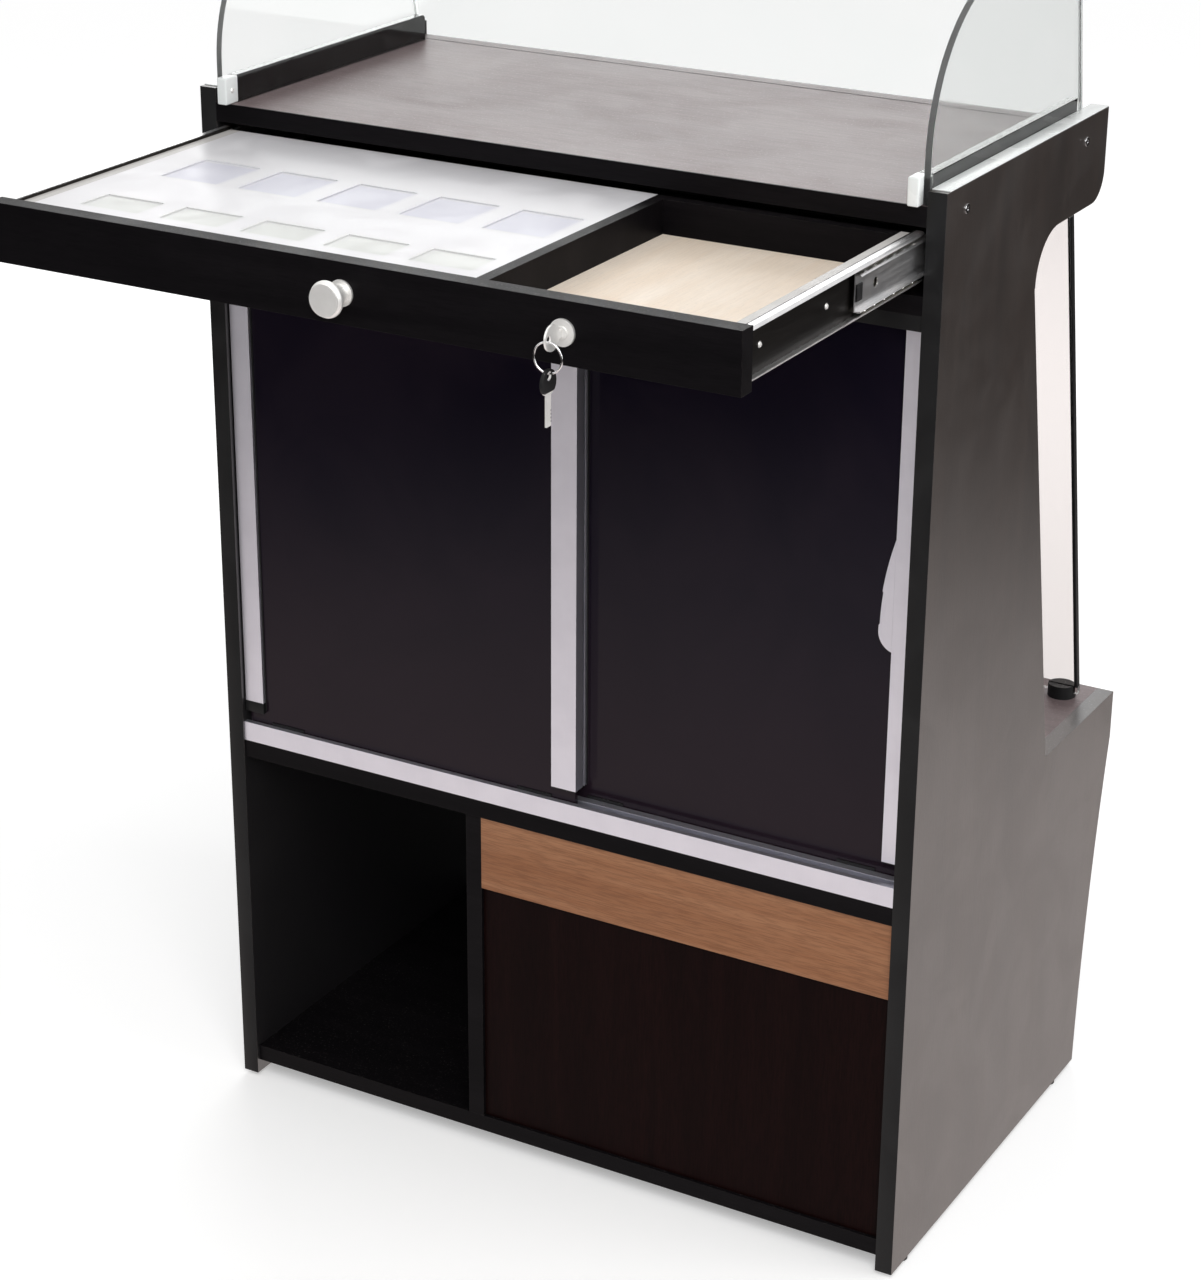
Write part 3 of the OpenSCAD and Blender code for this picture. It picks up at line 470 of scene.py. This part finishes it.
def smoked_sheet():
    """Dark smoked glass, nearly opaque: violet above, painted lighter and redder towards its foot as painted
    light from the white floor below.
    """
    foot_z = 0.42
    violet_z = 0.75
    painted_floor_light = (0.019, 0.011, 0.015, 1)
    tree, bsdf = start("smoked_glass", rough=0.08, ior=1.52, gloss=0.13)
    marks = place(tree, HANDLING, Scale=5.0)
    col = mix_colour(tree, marks.outputs["Smears"], (0.006, 0.0045, 0.010, 1), (0.010, 0.007, 0.013, 1))
    # The lighter, redder foot is painted light from the floor below, mixed in by height.
    foot = mix_colour(tree, 0.6, col, painted_floor_light)
    col = mix_colour(tree, ramp(tree, object_axis(tree, 2), foot_z, violet_z), foot, col)
    tree.links.new(col, bsdf.inputs["Base Color"])
    vary_rough(tree, bsdf, marks.outputs["Smears"], (0.05, 0.16))


def give_finishes():
    """Every CAD node takes the finish of its slot in the record."""
    slots = {s["node"]: s["material_slot"] for s in frame["record"]["subparts"]}
    for name, obj in frame["nodes"].items():
        obj.data.materials.clear()
        obj.data.materials.append(MATERIALS[slots[name]])


cabinet_boards()
pale_boards()
metals_and_plastics()
white_board()
clear_sheet()
smoked_sheet()
give_finishes()

# ---------------------------------------------------------------- fittings and trim
SHARP_DEGREES = 40


def finished(name, mesh, body, slot):
    """A finished mesh at the origin that rides on a body and takes a slot's finish."""
    obj = bpy.data.objects.new(name, mesh)
    bpy.context.scene.collection.objects.link(obj)
    if not mesh.materials:
        mesh.materials.append(MATERIALS[slot])
    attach(obj, body)
    return obj


def from_bmesh(name, bm, body, slot):
    """Turns the faces outwards, shades them smooth between sharp edges, and finishes the piece."""
    bmesh.ops.recalc_face_normals(bm, faces=bm.faces)
    mesh = bpy.data.meshes.new(name)
    bm.to_mesh(mesh)
    bm.free()
    for face in mesh.polygons:
        face.use_smooth = True
    mesh.set_sharp_from_angle(angle=math.radians(SHARP_DEGREES))
    return finished(name, mesh, body, slot)


def rounded_block(bm, lo, hi, r, segments=3):
    """A block from corner to corner with its edges rounded."""
    lo, hi = Vector(lo), Vector(hi)
    made = bmesh.ops.create_cube(bm, size=1.0)["verts"]
    for v in made:
        v.co = Vector(lo[i] + (v.co[i] + 0.5) * (hi[i] - lo[i]) for i in range(3))
    edges = list({e for v in made for e in v.link_edges})
    bmesh.ops.bevel(bm, geom=edges, offset=r, segments=segments, profile=0.5, affect="EDGES")


def mirrored(points):
    """Each (place, aim) pair and its mirror image in X."""
    both = list(points)
    for place_at, aim in points:
        both.append(((-place_at[0], place_at[1], place_at[2]), (-aim[0], aim[1], aim[2])))
    return both


def screw_tree():
    """Instances a pan-head screw with a cross recess on every point, turned to the point's aim."""
    tree = bpy.data.node_groups.new("screw_heads", "GeometryNodeTree")
    face = tree.interface
    face.new_socket("Geometry", in_out="INPUT", socket_type="NodeSocketGeometry")
    for label, value in (("Head Radius", 0.003), ("Head Height", 0.0018), ("Cross Width", 0.0007)):
        face.new_socket(label, in_out="INPUT", socket_type="NodeSocketFloat").default_value = value
    face.new_socket("Finish", in_out="INPUT", socket_type="NodeSocketMaterial")
    face.new_socket("Geometry", in_out="OUTPUT", socket_type="NodeSocketGeometry")
    gi = tree.nodes.new("NodeGroupInput")
    go = tree.nodes.new("NodeGroupOutput")
    radius = gi.outputs["Head Radius"]
    height = gi.outputs["Head Height"]
    top_radius = math_node(tree, "MULTIPLY", radius, 0.68)
    head = add(tree, "GeometryNodeMeshCone", {
        "Vertices": 32, "Side Segments": 4, "Fill Segments": 1,
        "Radius Top": top_radius, "Radius Bottom": radius, "Depth": height,
    })
    cross_length = math_node(tree, "MULTIPLY", radius, 1.15)
    cut = add(tree, "GeometryNodeMeshBoolean", {0: head.outputs[0]}, operation="DIFFERENCE")
    for long_axis, short_axis in ((0, 1), (1, 0)):
        size = add(tree, "ShaderNodeCombineXYZ", {
            long_axis: cross_length, short_axis: gi.outputs["Cross Width"], 2: height,
        })
        bar = add(tree, "GeometryNodeMeshCube", {"Size": size.outputs[0]})
        lift = add(tree, "ShaderNodeCombineXYZ", {2: height})
        raised = add(tree, "GeometryNodeTransform", {
            "Geometry": bar.outputs[0], "Translation": lift.outputs[0],
        })
        tree.links.new(raised.outputs[0], cut.inputs[1])
    aim = add(tree, "GeometryNodeInputNamedAttribute", {0: "aim"}, data_type="FLOAT_VECTOR")
    turn = add(tree, "FunctionNodeAlignRotationToVector", {"Vector": aim.outputs[0]}, axis="Z")
    put = add(tree, "GeometryNodeInstanceOnPoints", {
        "Points": gi.outputs["Geometry"], "Instance": cut.outputs[0], "Rotation": turn.outputs[0],
    })
    real = add(tree, "GeometryNodeRealizeInstances", {0: put.outputs[0]})
    paint = add(tree, "GeometryNodeSetMaterial", {
        "Geometry": real.outputs[0], "Material": gi.outputs["Finish"],
    })
    tree.links.new(paint.outputs[0], go.inputs[0])
    return tree


SCREWS = screw_tree()


def screw_heads(name, points, body, slot, head):
    """Screw heads at (place, aim) pairs, as one plain mesh; head is radius, height and cross width in mm."""
    mesh = bpy.data.meshes.new(name + "_points")
    mesh.from_pydata([p for p, _ in points], [], [])
    aims = mesh.attributes.new("aim", "FLOAT_VECTOR", "POINT")
    for i, (_, a) in enumerate(points):
        aims.data[i].vector = a
    seed = bpy.data.objects.new(name + "_points", mesh)
    bpy.context.scene.collection.objects.link(seed)
    mod = seed.modifiers.new("heads", "NODES")
    mod.node_group = SCREWS
    ids = {i.name: i.identifier for i in SCREWS.interface.items_tree if i.in_out == "INPUT"}
    for label, size in zip(("Head Radius", "Head Height", "Cross Width"), head):
        mod[ids[label]] = size * MM
    mod[ids["Finish"]] = MATERIALS[slot]
    bpy.context.view_layer.update()
    made = bpy.data.meshes.new_from_object(seed.evaluated_get(bpy.context.evaluated_depsgraph_get()))
    made.name = name
    bpy.data.objects.remove(seed)
    return finished(name, made, body, slot)


def slide_fittings():
    """Screws in the slide members' holes and the black end buffers of the middle members."""
    lo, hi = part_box("slide_drawer_right")
    mid_z = (lo[2] + hi[2]) / 2
    points = [((lo[0] + 0.7 * MM, lo[1] + y, mid_z), (1, 0, 0)) for y in (0.030, 0.150, 0.300)]
    screw_heads("slide_screws_drawer", mirrored(points), "drawer", "satin_nickel", (2.8, 1.4, 0.7))
    lo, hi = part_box("slide_fixed_right")
    points = [((hi[0] - 1.0 * MM, lo[1] + y, mid_z), (-1, 0, 0)) for y in (0.030, 0.160, 0.290)]
    screw_heads("slide_screws_cabinet", mirrored(points), "cabinet", "satin_nickel", (2.3, 1.3, 0.6))
    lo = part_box("slide_middle_right")[0]
    front_y = lo[1] + 0.2 * MM
    half_body = 7.5 * MM
    half_nose = 5 * MM
    bm = bmesh.new()
    for side in (1, -1):
        x0, x1 = sorted((side * (lo[0] + 1.3 * MM), side * (lo[0] + 3.0 * MM)))
        nose_x = x1 + 0.4 * MM * max(side, 0)
        body_back = (x1, lo[1] + 11 * MM, mid_z + half_body)
        nose_back = (nose_x, lo[1] + 4 * MM, mid_z + half_nose)
        rounded_block(bm, (x0, front_y, mid_z - half_body), body_back, 0.6 * MM)
        rounded_block(bm, (x0, front_y, mid_z - half_nose), nose_back, 0.4 * MM)
    from_bmesh("slide_buffers", bm, "slide_middles", "black_plastic")


def door_trim(side, body):
    """Gaskets beside the stiles, caps on the stiles' ends, and a sleeve on the left door's outer foot."""
    outer_wide = 22 * MM
    meeting_wide = 28 * MM
    glass_lo, glass_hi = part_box("door_glass_" + side)
    lo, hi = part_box("door_stiles_" + side)
    first, last = (outer_wide, meeting_wide) if side == "left" else (meeting_wide, outer_wide)
    stiles = ((lo[0], lo[0] + first), (hi[0] - last, hi[0]))
    gasket_wide = 1.6 * MM
    gasket_thick = 1.1 * MM
    z0, z1 = lo[2] + 1 * MM, hi[2] - 1 * MM
    bm = bmesh.new()
    for inner, step in ((stiles[0][1], gasket_wide), (stiles[1][0], -gasket_wide)):
        x0, x1 = sorted((inner, inner + step))
        for y in (glass_lo[1] - gasket_thick, glass_hi[1]):
            rounded_block(bm, (x0, y, z0), (x1, y + gasket_thick, z1), 0.45 * MM)
    from_bmesh("gaskets_" + side, bm, body, "black_plastic")
    cap_high = 1.6 * MM
    inset = 0.3 * MM
    off_glass = 0.1 * MM
    cap_round = 0.5 * MM
    front_y = glass_lo[1] - off_glass
    rear_y = glass_hi[1] + off_glass
    bm = bmesh.new()
    for x0, x1 in stiles:
        for z0, z1 in ((hi[2], hi[2] + cap_high), (lo[2] - cap_high, lo[2])):
            rounded_block(bm, (x0 + inset, lo[1] + inset, z0), (x1 - inset, front_y, z1), cap_round)
            rounded_block(bm, (x0 + inset, rear_y, z0), (x1 - inset, hi[1] - inset, z1), cap_round)
    if side == "left":
        x0, x1 = stiles[0]
        sleeve_lo = (x0 - 0.4 * MM, lo[1] - 0.6 * MM, lo[2] - 1.8 * MM)
        sleeve_hi = (x1 + 0.4 * MM, front_y, lo[2] + 10 * MM)
        rounded_block(bm, sleeve_lo, sleeve_hi, cap_round)
    from_bmesh("stile_caps_" + side, bm, body, "black_plastic")


def clip_blocks():
    """Rounded clip blocks with a screw, one on the foot of each wing."""
    lo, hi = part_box("guard_clips")
    width = 11 * MM
    bm = bmesh.new()
    for side in (1, -1):
        x0, x1 = sorted((side * hi[0], side * (hi[0] - width)))
        rounded_block(bm, (x0, lo[1], lo[2]), (x1, hi[1], hi[2]), 1.6 * MM, 4)
    obj = from_bmesh("clip_blocks", bm, "cabinet", "clip_plastic")
    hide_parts("guard_clips")
    mid_y = (lo[1] + hi[1]) / 2
    mid_z = (lo[2] + hi[2]) / 2
    points = mirrored([((hi[0] - width + 0.1 * MM, mid_y, mid_z), (-1, 0, 0))])
    screw_heads("clip_screws", points, "cabinet", "satin_nickel", (2.6, 1.4, 0.6))


def bow_cover():
    """Black moulded cover on the spare key's bow, with the ring's hole left open."""
    bow_radius = 11 * MM
    cover_radius = 10.55 * MM
    hole_radius = 4.4 * MM
    hole_up = 5.4 * MM
    flat_foot = 0.72
    lo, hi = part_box("spare_key")
    centre = Vector(((lo[0] + hi[0]) / 2, (lo[1] + hi[1]) / 2, hi[2] - bow_radius))
    curve = bpy.data.curves.new("bow_cover", "CURVE")
    curve.dimensions = "2D"
    curve.fill_mode = "BOTH"
    curve.extrude = 1.1 * MM
    curve.bevel_depth = 0.5 * MM
    curve.bevel_resolution = 3
    for r, up, n in ((cover_radius, 0.0, 40), (hole_radius, hole_up, 24)):
        spline = curve.splines.new("POLY")
        spline.points.add(n - 1)
        for i in range(n):
            a = 2 * math.pi * i / n
            y = r * math.sin(a)
            if r == cover_radius:
                y = max(y, -flat_foot * r)
            spline.points[i].co = (r * math.cos(a), y + up, 0, 1)
        spline.use_cyclic_u = True
    tmp = bpy.data.objects.new("bow_cover_curve", curve)
    bpy.context.scene.collection.objects.link(tmp)
    mesh = bpy.data.meshes.new_from_object(tmp)
    bpy.data.objects.remove(tmp)
    upright = Matrix(((0, 0, 1, 0), (1, 0, 0, 0), (0, 1, 0, 0), (0, 0, 0, 1)))
    mesh.transform(Matrix.Translation(centre) @ upright)
    bm = bmesh.new()
    bm.from_mesh(mesh)
    bmesh.ops.remove_doubles(bm, verts=bm.verts, dist=0.001 * MM)
    from_bmesh("spare_key_cover", bm, "key_spare", "black_plastic")


def panel_screws():
    """Screws that hold the ledge fascia on the audience side and the drawer front from inside."""
    lo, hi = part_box("ledge_fascia")
    place_at = (hi[0] - 22 * MM, hi[1] - 0.75 * MM, (lo[2] + hi[2]) / 2)
    points = mirrored([(place_at, (0, 1, 0))])
    screw_heads("fascia_screws", points, "cabinet", "black_plastic", (3.4, 0.8, 0.8))
    lo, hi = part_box("drawer_front")
    from_side = 30 * MM
    bin_x = (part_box("drawer_side_right")[0][0] - from_side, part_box("drawer_divider")[1][0] + from_side)
    screw_z = (lo[2] + hi[2]) / 2 + 4 * MM
    points = [((x, hi[1] + 0.8 * MM, screw_z), (0, 1, 0)) for x in bin_x]
    screw_heads("front_screws", points, "drawer", "satin_nickel", (3.6, 1.8, 0.8))


def outline_path(obj, x, keep):
    """The longest run of a flat board's outline at x, among the edges whose middle passes keep.

    It comes as (y, z) points in order, with points that nearly coincide left out."""
    same_place = 0.1 * MM
    mesh, world = obj.data, obj.matrix_world
    near = {}
    for poly in mesh.polygons:
        if abs(poly.normal.x) > 0.9:
            continue
        for a, b in poly.edge_keys:
            ends = [world @ mesh.vertices[i].co for i in (a, b)]
            at_x = all(abs(p.x - x) < same_place for p in ends)
            if at_x and keep((ends[0] + ends[1]) / 2):
                p, q = ((round(end.y, 5), round(end.z, 5)) for end in ends)
                near.setdefault(p, set()).add(q)
                near.setdefault(q, set()).add(p)
    runs, seen = [], set()
    for first in sorted(k for k, v in near.items() if len(v) == 1):
        if first in seen:
            continue
        run = [first]
        seen.add(first)
        while True:
            ahead = sorted(n for n in near[run[-1]] if n not in seen)
            if not ahead:
                break
            seen.add(ahead[0])
            run.append(ahead[0])
        runs.append(run)
    kept = []
    for point in map(Vector, max(runs, key=len)):
        if not kept or (point - kept[-1]).length > 0.3 * MM:
            kept.append(point)
    return kept


def band_section(wide, thick, round_by):
    """A thin band with rounded corners, as (across, out) points from one face of the board to the other."""
    half = [(0.0, -0.02 * MM), (0.0, thick - round_by)]
    for a in (math.pi / 4, math.pi / 2):
        half.append((round_by * (1 - math.cos(a)), thick - round_by * (1 - math.sin(a))))
    return half + [(wide - u, v) for u, v in reversed(half)]


def edge_bands(thick=0.35 * MM, round_by=0.25 * MM):
    """Thin black bands glued over the side panels' front edges and along their nose and notch."""
    panel = frame["nodes"]["side_panel_right"]
    lo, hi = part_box("side_panel_right")
    ledge_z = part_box("ledge_board")[1][2]

    def front(mid):
        return mid.y < lo[1] + 1 * MM

    def nose_and_notch(mid):
        return ledge_z + 1 * MM < mid.z < hi[2] - 1 * MM and mid.y > lo[1] + 50 * MM

    front_path = outline_path(panel, hi[0], front)
    if front_path[0].y > front_path[-1].y:
        front_path.reverse()
    nose_path = outline_path(panel, hi[0], nose_and_notch)
    if nose_path[0].y < nose_path[-1].y:
        nose_path.reverse()
    section = band_section(hi[0] - lo[0], thick, round_by)
    bm = bmesh.new()
    for side, path in ((side, path) for side in (1, -1) for path in (front_path, nose_path)):
        turns = [(path[i + 1] - path[i]).normalized() for i in range(len(path) - 1)]
        rows = []
        for i, point in enumerate(path):
            before, after = turns[max(i - 1, 0)], turns[min(i, len(turns) - 1)]
            out_a, out_b = Vector((-before.y, before.x)), Vector((-after.y, after.x))
            out = (out_a + out_b) / max(1 + out_a.dot(out_b), 0.3)
            places = [(side * (lo[0] + u), point.x + out.x * v, point.y + out.y * v) for u, v in section]
            rows.append([bm.verts.new(at) for at in places])
        for a, b in zip(rows, rows[1:]):
            for k in range(len(section)):
                n = (k + 1) % len(section)
                bm.faces.new((a[k], a[n], b[n], b[k]))
        bm.faces.new(rows[0])
        bm.faces.new(rows[-1])
    from_bmesh("edge_bands", bm, "cabinet", "black_plastic")


def top_strips():
    """Bright strips along the top edges of the side panels; they are painted light, standing in for the
    light that comes through the clear bars beside them.
    """
    lo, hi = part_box("side_panel_right")
    rear_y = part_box("nose_shell")[1][1]
    bm = bmesh.new()
    for side in (1, -1):
        x0, x1 = sorted((side * (lo[0] + 0.4 * MM), side * (hi[0] - 0.2 * MM)))
        strip_lo = (x0, lo[1] + 7 * MM, hi[2] - 0.05 * MM)
        rounded_block(bm, strip_lo, (x1, rear_y, hi[2] + 1.0 * MM), 0.35 * MM)
    from_bmesh("top_strips", bm, "cabinet", "clip_plastic")


def sheet_trims(wide=7 * MM, over=2.5 * MM, wall=1.2 * MM):
    """Dark channel trims pushed over the audience sheet's upright edges."""
    slot_gap = 0.1 * MM
    end_gap = 2 * MM
    sheet = frame["nodes"]["audience_sheet"]
    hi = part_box("audience_sheet")[1]
    corners = [sheet.matrix_world @ v.co for v in sheet.data.vertices]
    corners = sorted((v for v in corners if v.x > hi[0] - 0.01 * MM), key=lambda v: v.z)
    foot = (corners[0] + corners[1]) / 2
    head = (corners[-2] + corners[-1]) / 2
    half = abs(corners[0].y - corners[1].y) / 2 + slot_gap
    along = (head - foot).normalized()
    out = Vector((1, 0, 0)).cross(along)
    z0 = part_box("audience_feet")[1][2] + end_gap
    z1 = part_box("audience_holders")[0][2] - end_gap
    ends = [foot + along * ((z - foot.z) / along.z) for z in (z0, z1)]
    w = wide / 2
    channel = [(-over, -w), (wall, -w), (wall, w), (-over, w)]
    channel += [(-over, half), (slot_gap, half), (slot_gap, -half), (-over, -half)]
    count = len(channel)
    bm = bmesh.new()
    for side in (1, -1):
        rows = []
        for at in ends:
            places = [(side * (at.x + u), at.y + out.y * v, at.z + out.z * v) for u, v in channel]
            rows.append([bm.verts.new(p) for p in places])
        walls = []
        for k in range(count):
            n = (k + 1) % count
            walls.append(bm.faces.new((rows[0][k], rows[0][n], rows[1][n], rows[1][k])))
        bm.faces.new(rows[0])
        bm.faces.new(rows[1])
        foot_row = set(rows[0])
        long_edges = {e for f in walls for e in f.edges if len(foot_row.intersection(e.verts)) == 1}
        bmesh.ops.bevel(
            bm, geom=list(long_edges), offset=0.3 * MM, segments=2, profile=0.5, affect="EDGES"
        )
    from_bmesh("sheet_trims", bm, "cabinet", "black_plastic")


edge_bands()
top_strips()
sheet_trims()
slide_fittings()
door_trim("left", "door_left")
door_trim("right", "door_right")
clip_blocks()
bow_cover()
panel_screws()

# ---------------------------------------------------------------- floor, light, camera


def floor_material(name, colour, veil, veil_from, near, far, warm):
    """Pale ground that keeps shadows, looks white from afar, and in a gloss fades with distance.

    veil is its glow at the distances of veil_from; near and far are (distance, brightness) in a gloss."""
    mat = bpy.data.materials.new(name)
    mat.use_nodes = True
    tree = mat.node_tree
    bsdf = tree.nodes["Principled BSDF"]
    bsdf.inputs["Base Color"].default_value = colour
    bsdf.inputs["Roughness"].default_value = 0.9
    bsdf.inputs["Specular IOR Level"].default_value = 0.0
    co = add(tree, "ShaderNodeTexCoord").outputs["Object"]
    away = add(tree, "ShaderNodeVectorMath", {0: co}, operation="LENGTH").outputs["Value"]
    path = add(tree, "ShaderNodeLightPath")
    is_camera = path.outputs["Is Camera Ray"]
    is_clear = path.outputs["Is Transmission Ray"]
    seen = math_node(tree, "MAXIMUM", is_camera, is_clear)
    veil_now = ramp(tree, away, veil_from[0], veil_from[1], veil[0], veil[1])
    strength = math_node(tree, "MULTIPLY", seen, veil_now)
    glow = add(tree, "ShaderNodeEmission", {"Color": (1, 1, 1, 1), "Strength": strength})
    lit = add(tree, "ShaderNodeAddShader", {0: bsdf.outputs[0], 1: glow.outputs[0]})
    level = ramp(tree, away, near[0], far[0], near[1], far[1])
    shine = add(tree, "ShaderNodeEmission", {"Color": warm, "Strength": level})
    in_gloss = math_node(tree, "SUBTRACT", path.outputs["Is Glossy Ray"], is_clear, clamp=True)
    pick = add(tree, "ShaderNodeMixShader", {0: in_gloss, 1: lit.outputs[0], 2: shine.outputs[0]})
    tree.links.new(pick.outputs[0], tree.nodes["Material Output"].inputs["Surface"])
    return mat


def studio_floor():
    """A wide round floor, a hair under the glides."""
    mesh = bpy.data.meshes.new("studio_floor")
    bm = bmesh.new()
    bmesh.ops.create_circle(bm, cap_ends=True, radius=30.0, segments=64)
    bm.to_mesh(mesh)
    bm.free()
    floor = bpy.data.objects.new("studio_floor", mesh)
    bpy.context.scene.collection.objects.link(floor)
    floor.location = (0, 0, -0.5 * MM)
    mesh.materials.append(
        floor_material("studio_floor", (0.86, 0.86, 0.86, 1), veil=(0.33, 0.55), veil_from=(0.5, 3.0),
                       near=(1.2, 1.0), far=(2.8, 0.02), warm=(1.0, 0.91, 0.88, 1))
    )


def studio_world(light=0.48, white=1.0):
    """White where it is seen, in a gloss or through a sheet; dimmer where it only lights."""
    world = bpy.data.worlds.new("studio")
    bpy.context.scene.world = world
    world.use_nodes = True
    tree = world.node_tree
    for n in list(tree.nodes):
        tree.nodes.remove(n)
    path = add(tree, "ShaderNodeLightPath")
    gloss = path.outputs["Is Glossy Ray"]
    clear = path.outputs["Is Transmission Ray"]
    seen = math_node(tree, "MAXIMUM", gloss, clear)
    seen = math_node(tree, "MAXIMUM", path.outputs["Is Camera Ray"], seen)
    dim_sky = add(tree, "ShaderNodeBackground", {"Color": (1, 1, 1, 1), "Strength": light})
    white_sky = add(tree, "ShaderNodeBackground", {"Color": (1, 1, 1, 1), "Strength": white})
    both = add(tree, "ShaderNodeMixShader", {0: seen, 1: dim_sky.outputs[0], 2: white_sky.outputs[0]})
    add(tree, "ShaderNodeOutputWorld", {"Surface": both.outputs[0]})


def lamp(name, place_at, target, size, watts):
    """A rectangular lamp that looks at a target."""
    data = bpy.data.lights.new(name, "AREA")
    data.shape = "RECTANGLE"
    data.size, data.size_y = size
    data.energy = watts
    obj = bpy.data.objects.new(name, data)
    bpy.context.scene.collection.objects.link(obj)
    obj.location = place_at
    obj.rotation_mode = "QUATERNION"
    obj.rotation_quaternion = (Vector(target) - Vector(place_at)).to_track_quat("-Z", "Y")


def photo_camera():
    """The camera that took the photograph, as fitted to the lectern's straight edges."""
    stands_at = Vector((1.39438, -2.43476, 1.76789))
    yaw, pitch, roll = (math.radians(a) for a in (29.3447, 23.2742, 0.4740))
    data = bpy.data.cameras.new("photo_camera")
    data.lens = 86.26
    data.sensor_width = 36.0
    data.shift_x = -0.0079
    data.shift_y = 0.0115
    data.clip_end = 100.0
    look = Vector((-math.sin(yaw) * math.cos(pitch), math.cos(yaw) * math.cos(pitch), -math.sin(pitch)))
    level_side = Vector((math.cos(yaw), math.sin(yaw), 0))
    level_up = level_side.cross(look)
    side = math.cos(roll) * level_side + math.sin(roll) * level_up
    up = -math.sin(roll) * level_side + math.cos(roll) * level_up
    turned = Matrix((side, up, -look)).transposed().to_4x4()
    camera = bpy.data.objects.new("photo_camera", data)
    bpy.context.scene.collection.objects.link(camera)
    camera.matrix_world = Matrix.Translation(stands_at) @ turned
    bpy.context.scene.camera = camera


studio_floor()
studio_world()
lamp("key_light", (1.6, -2.6, 3.4), (0, 0, 0.7), (2.4, 2.4), 85)
lamp("right_light", (3.6, 0.6, 1.4), (0.3, 0, 0.4), (1.8, 2.0), 45)
lamp("back_light", (-1.6, 2.8, 2.6), (0, 0, 0.8), (2.2, 2.2), 34)
photo_camera()
bpy.context.scene.view_settings.view_transform = "Standard"
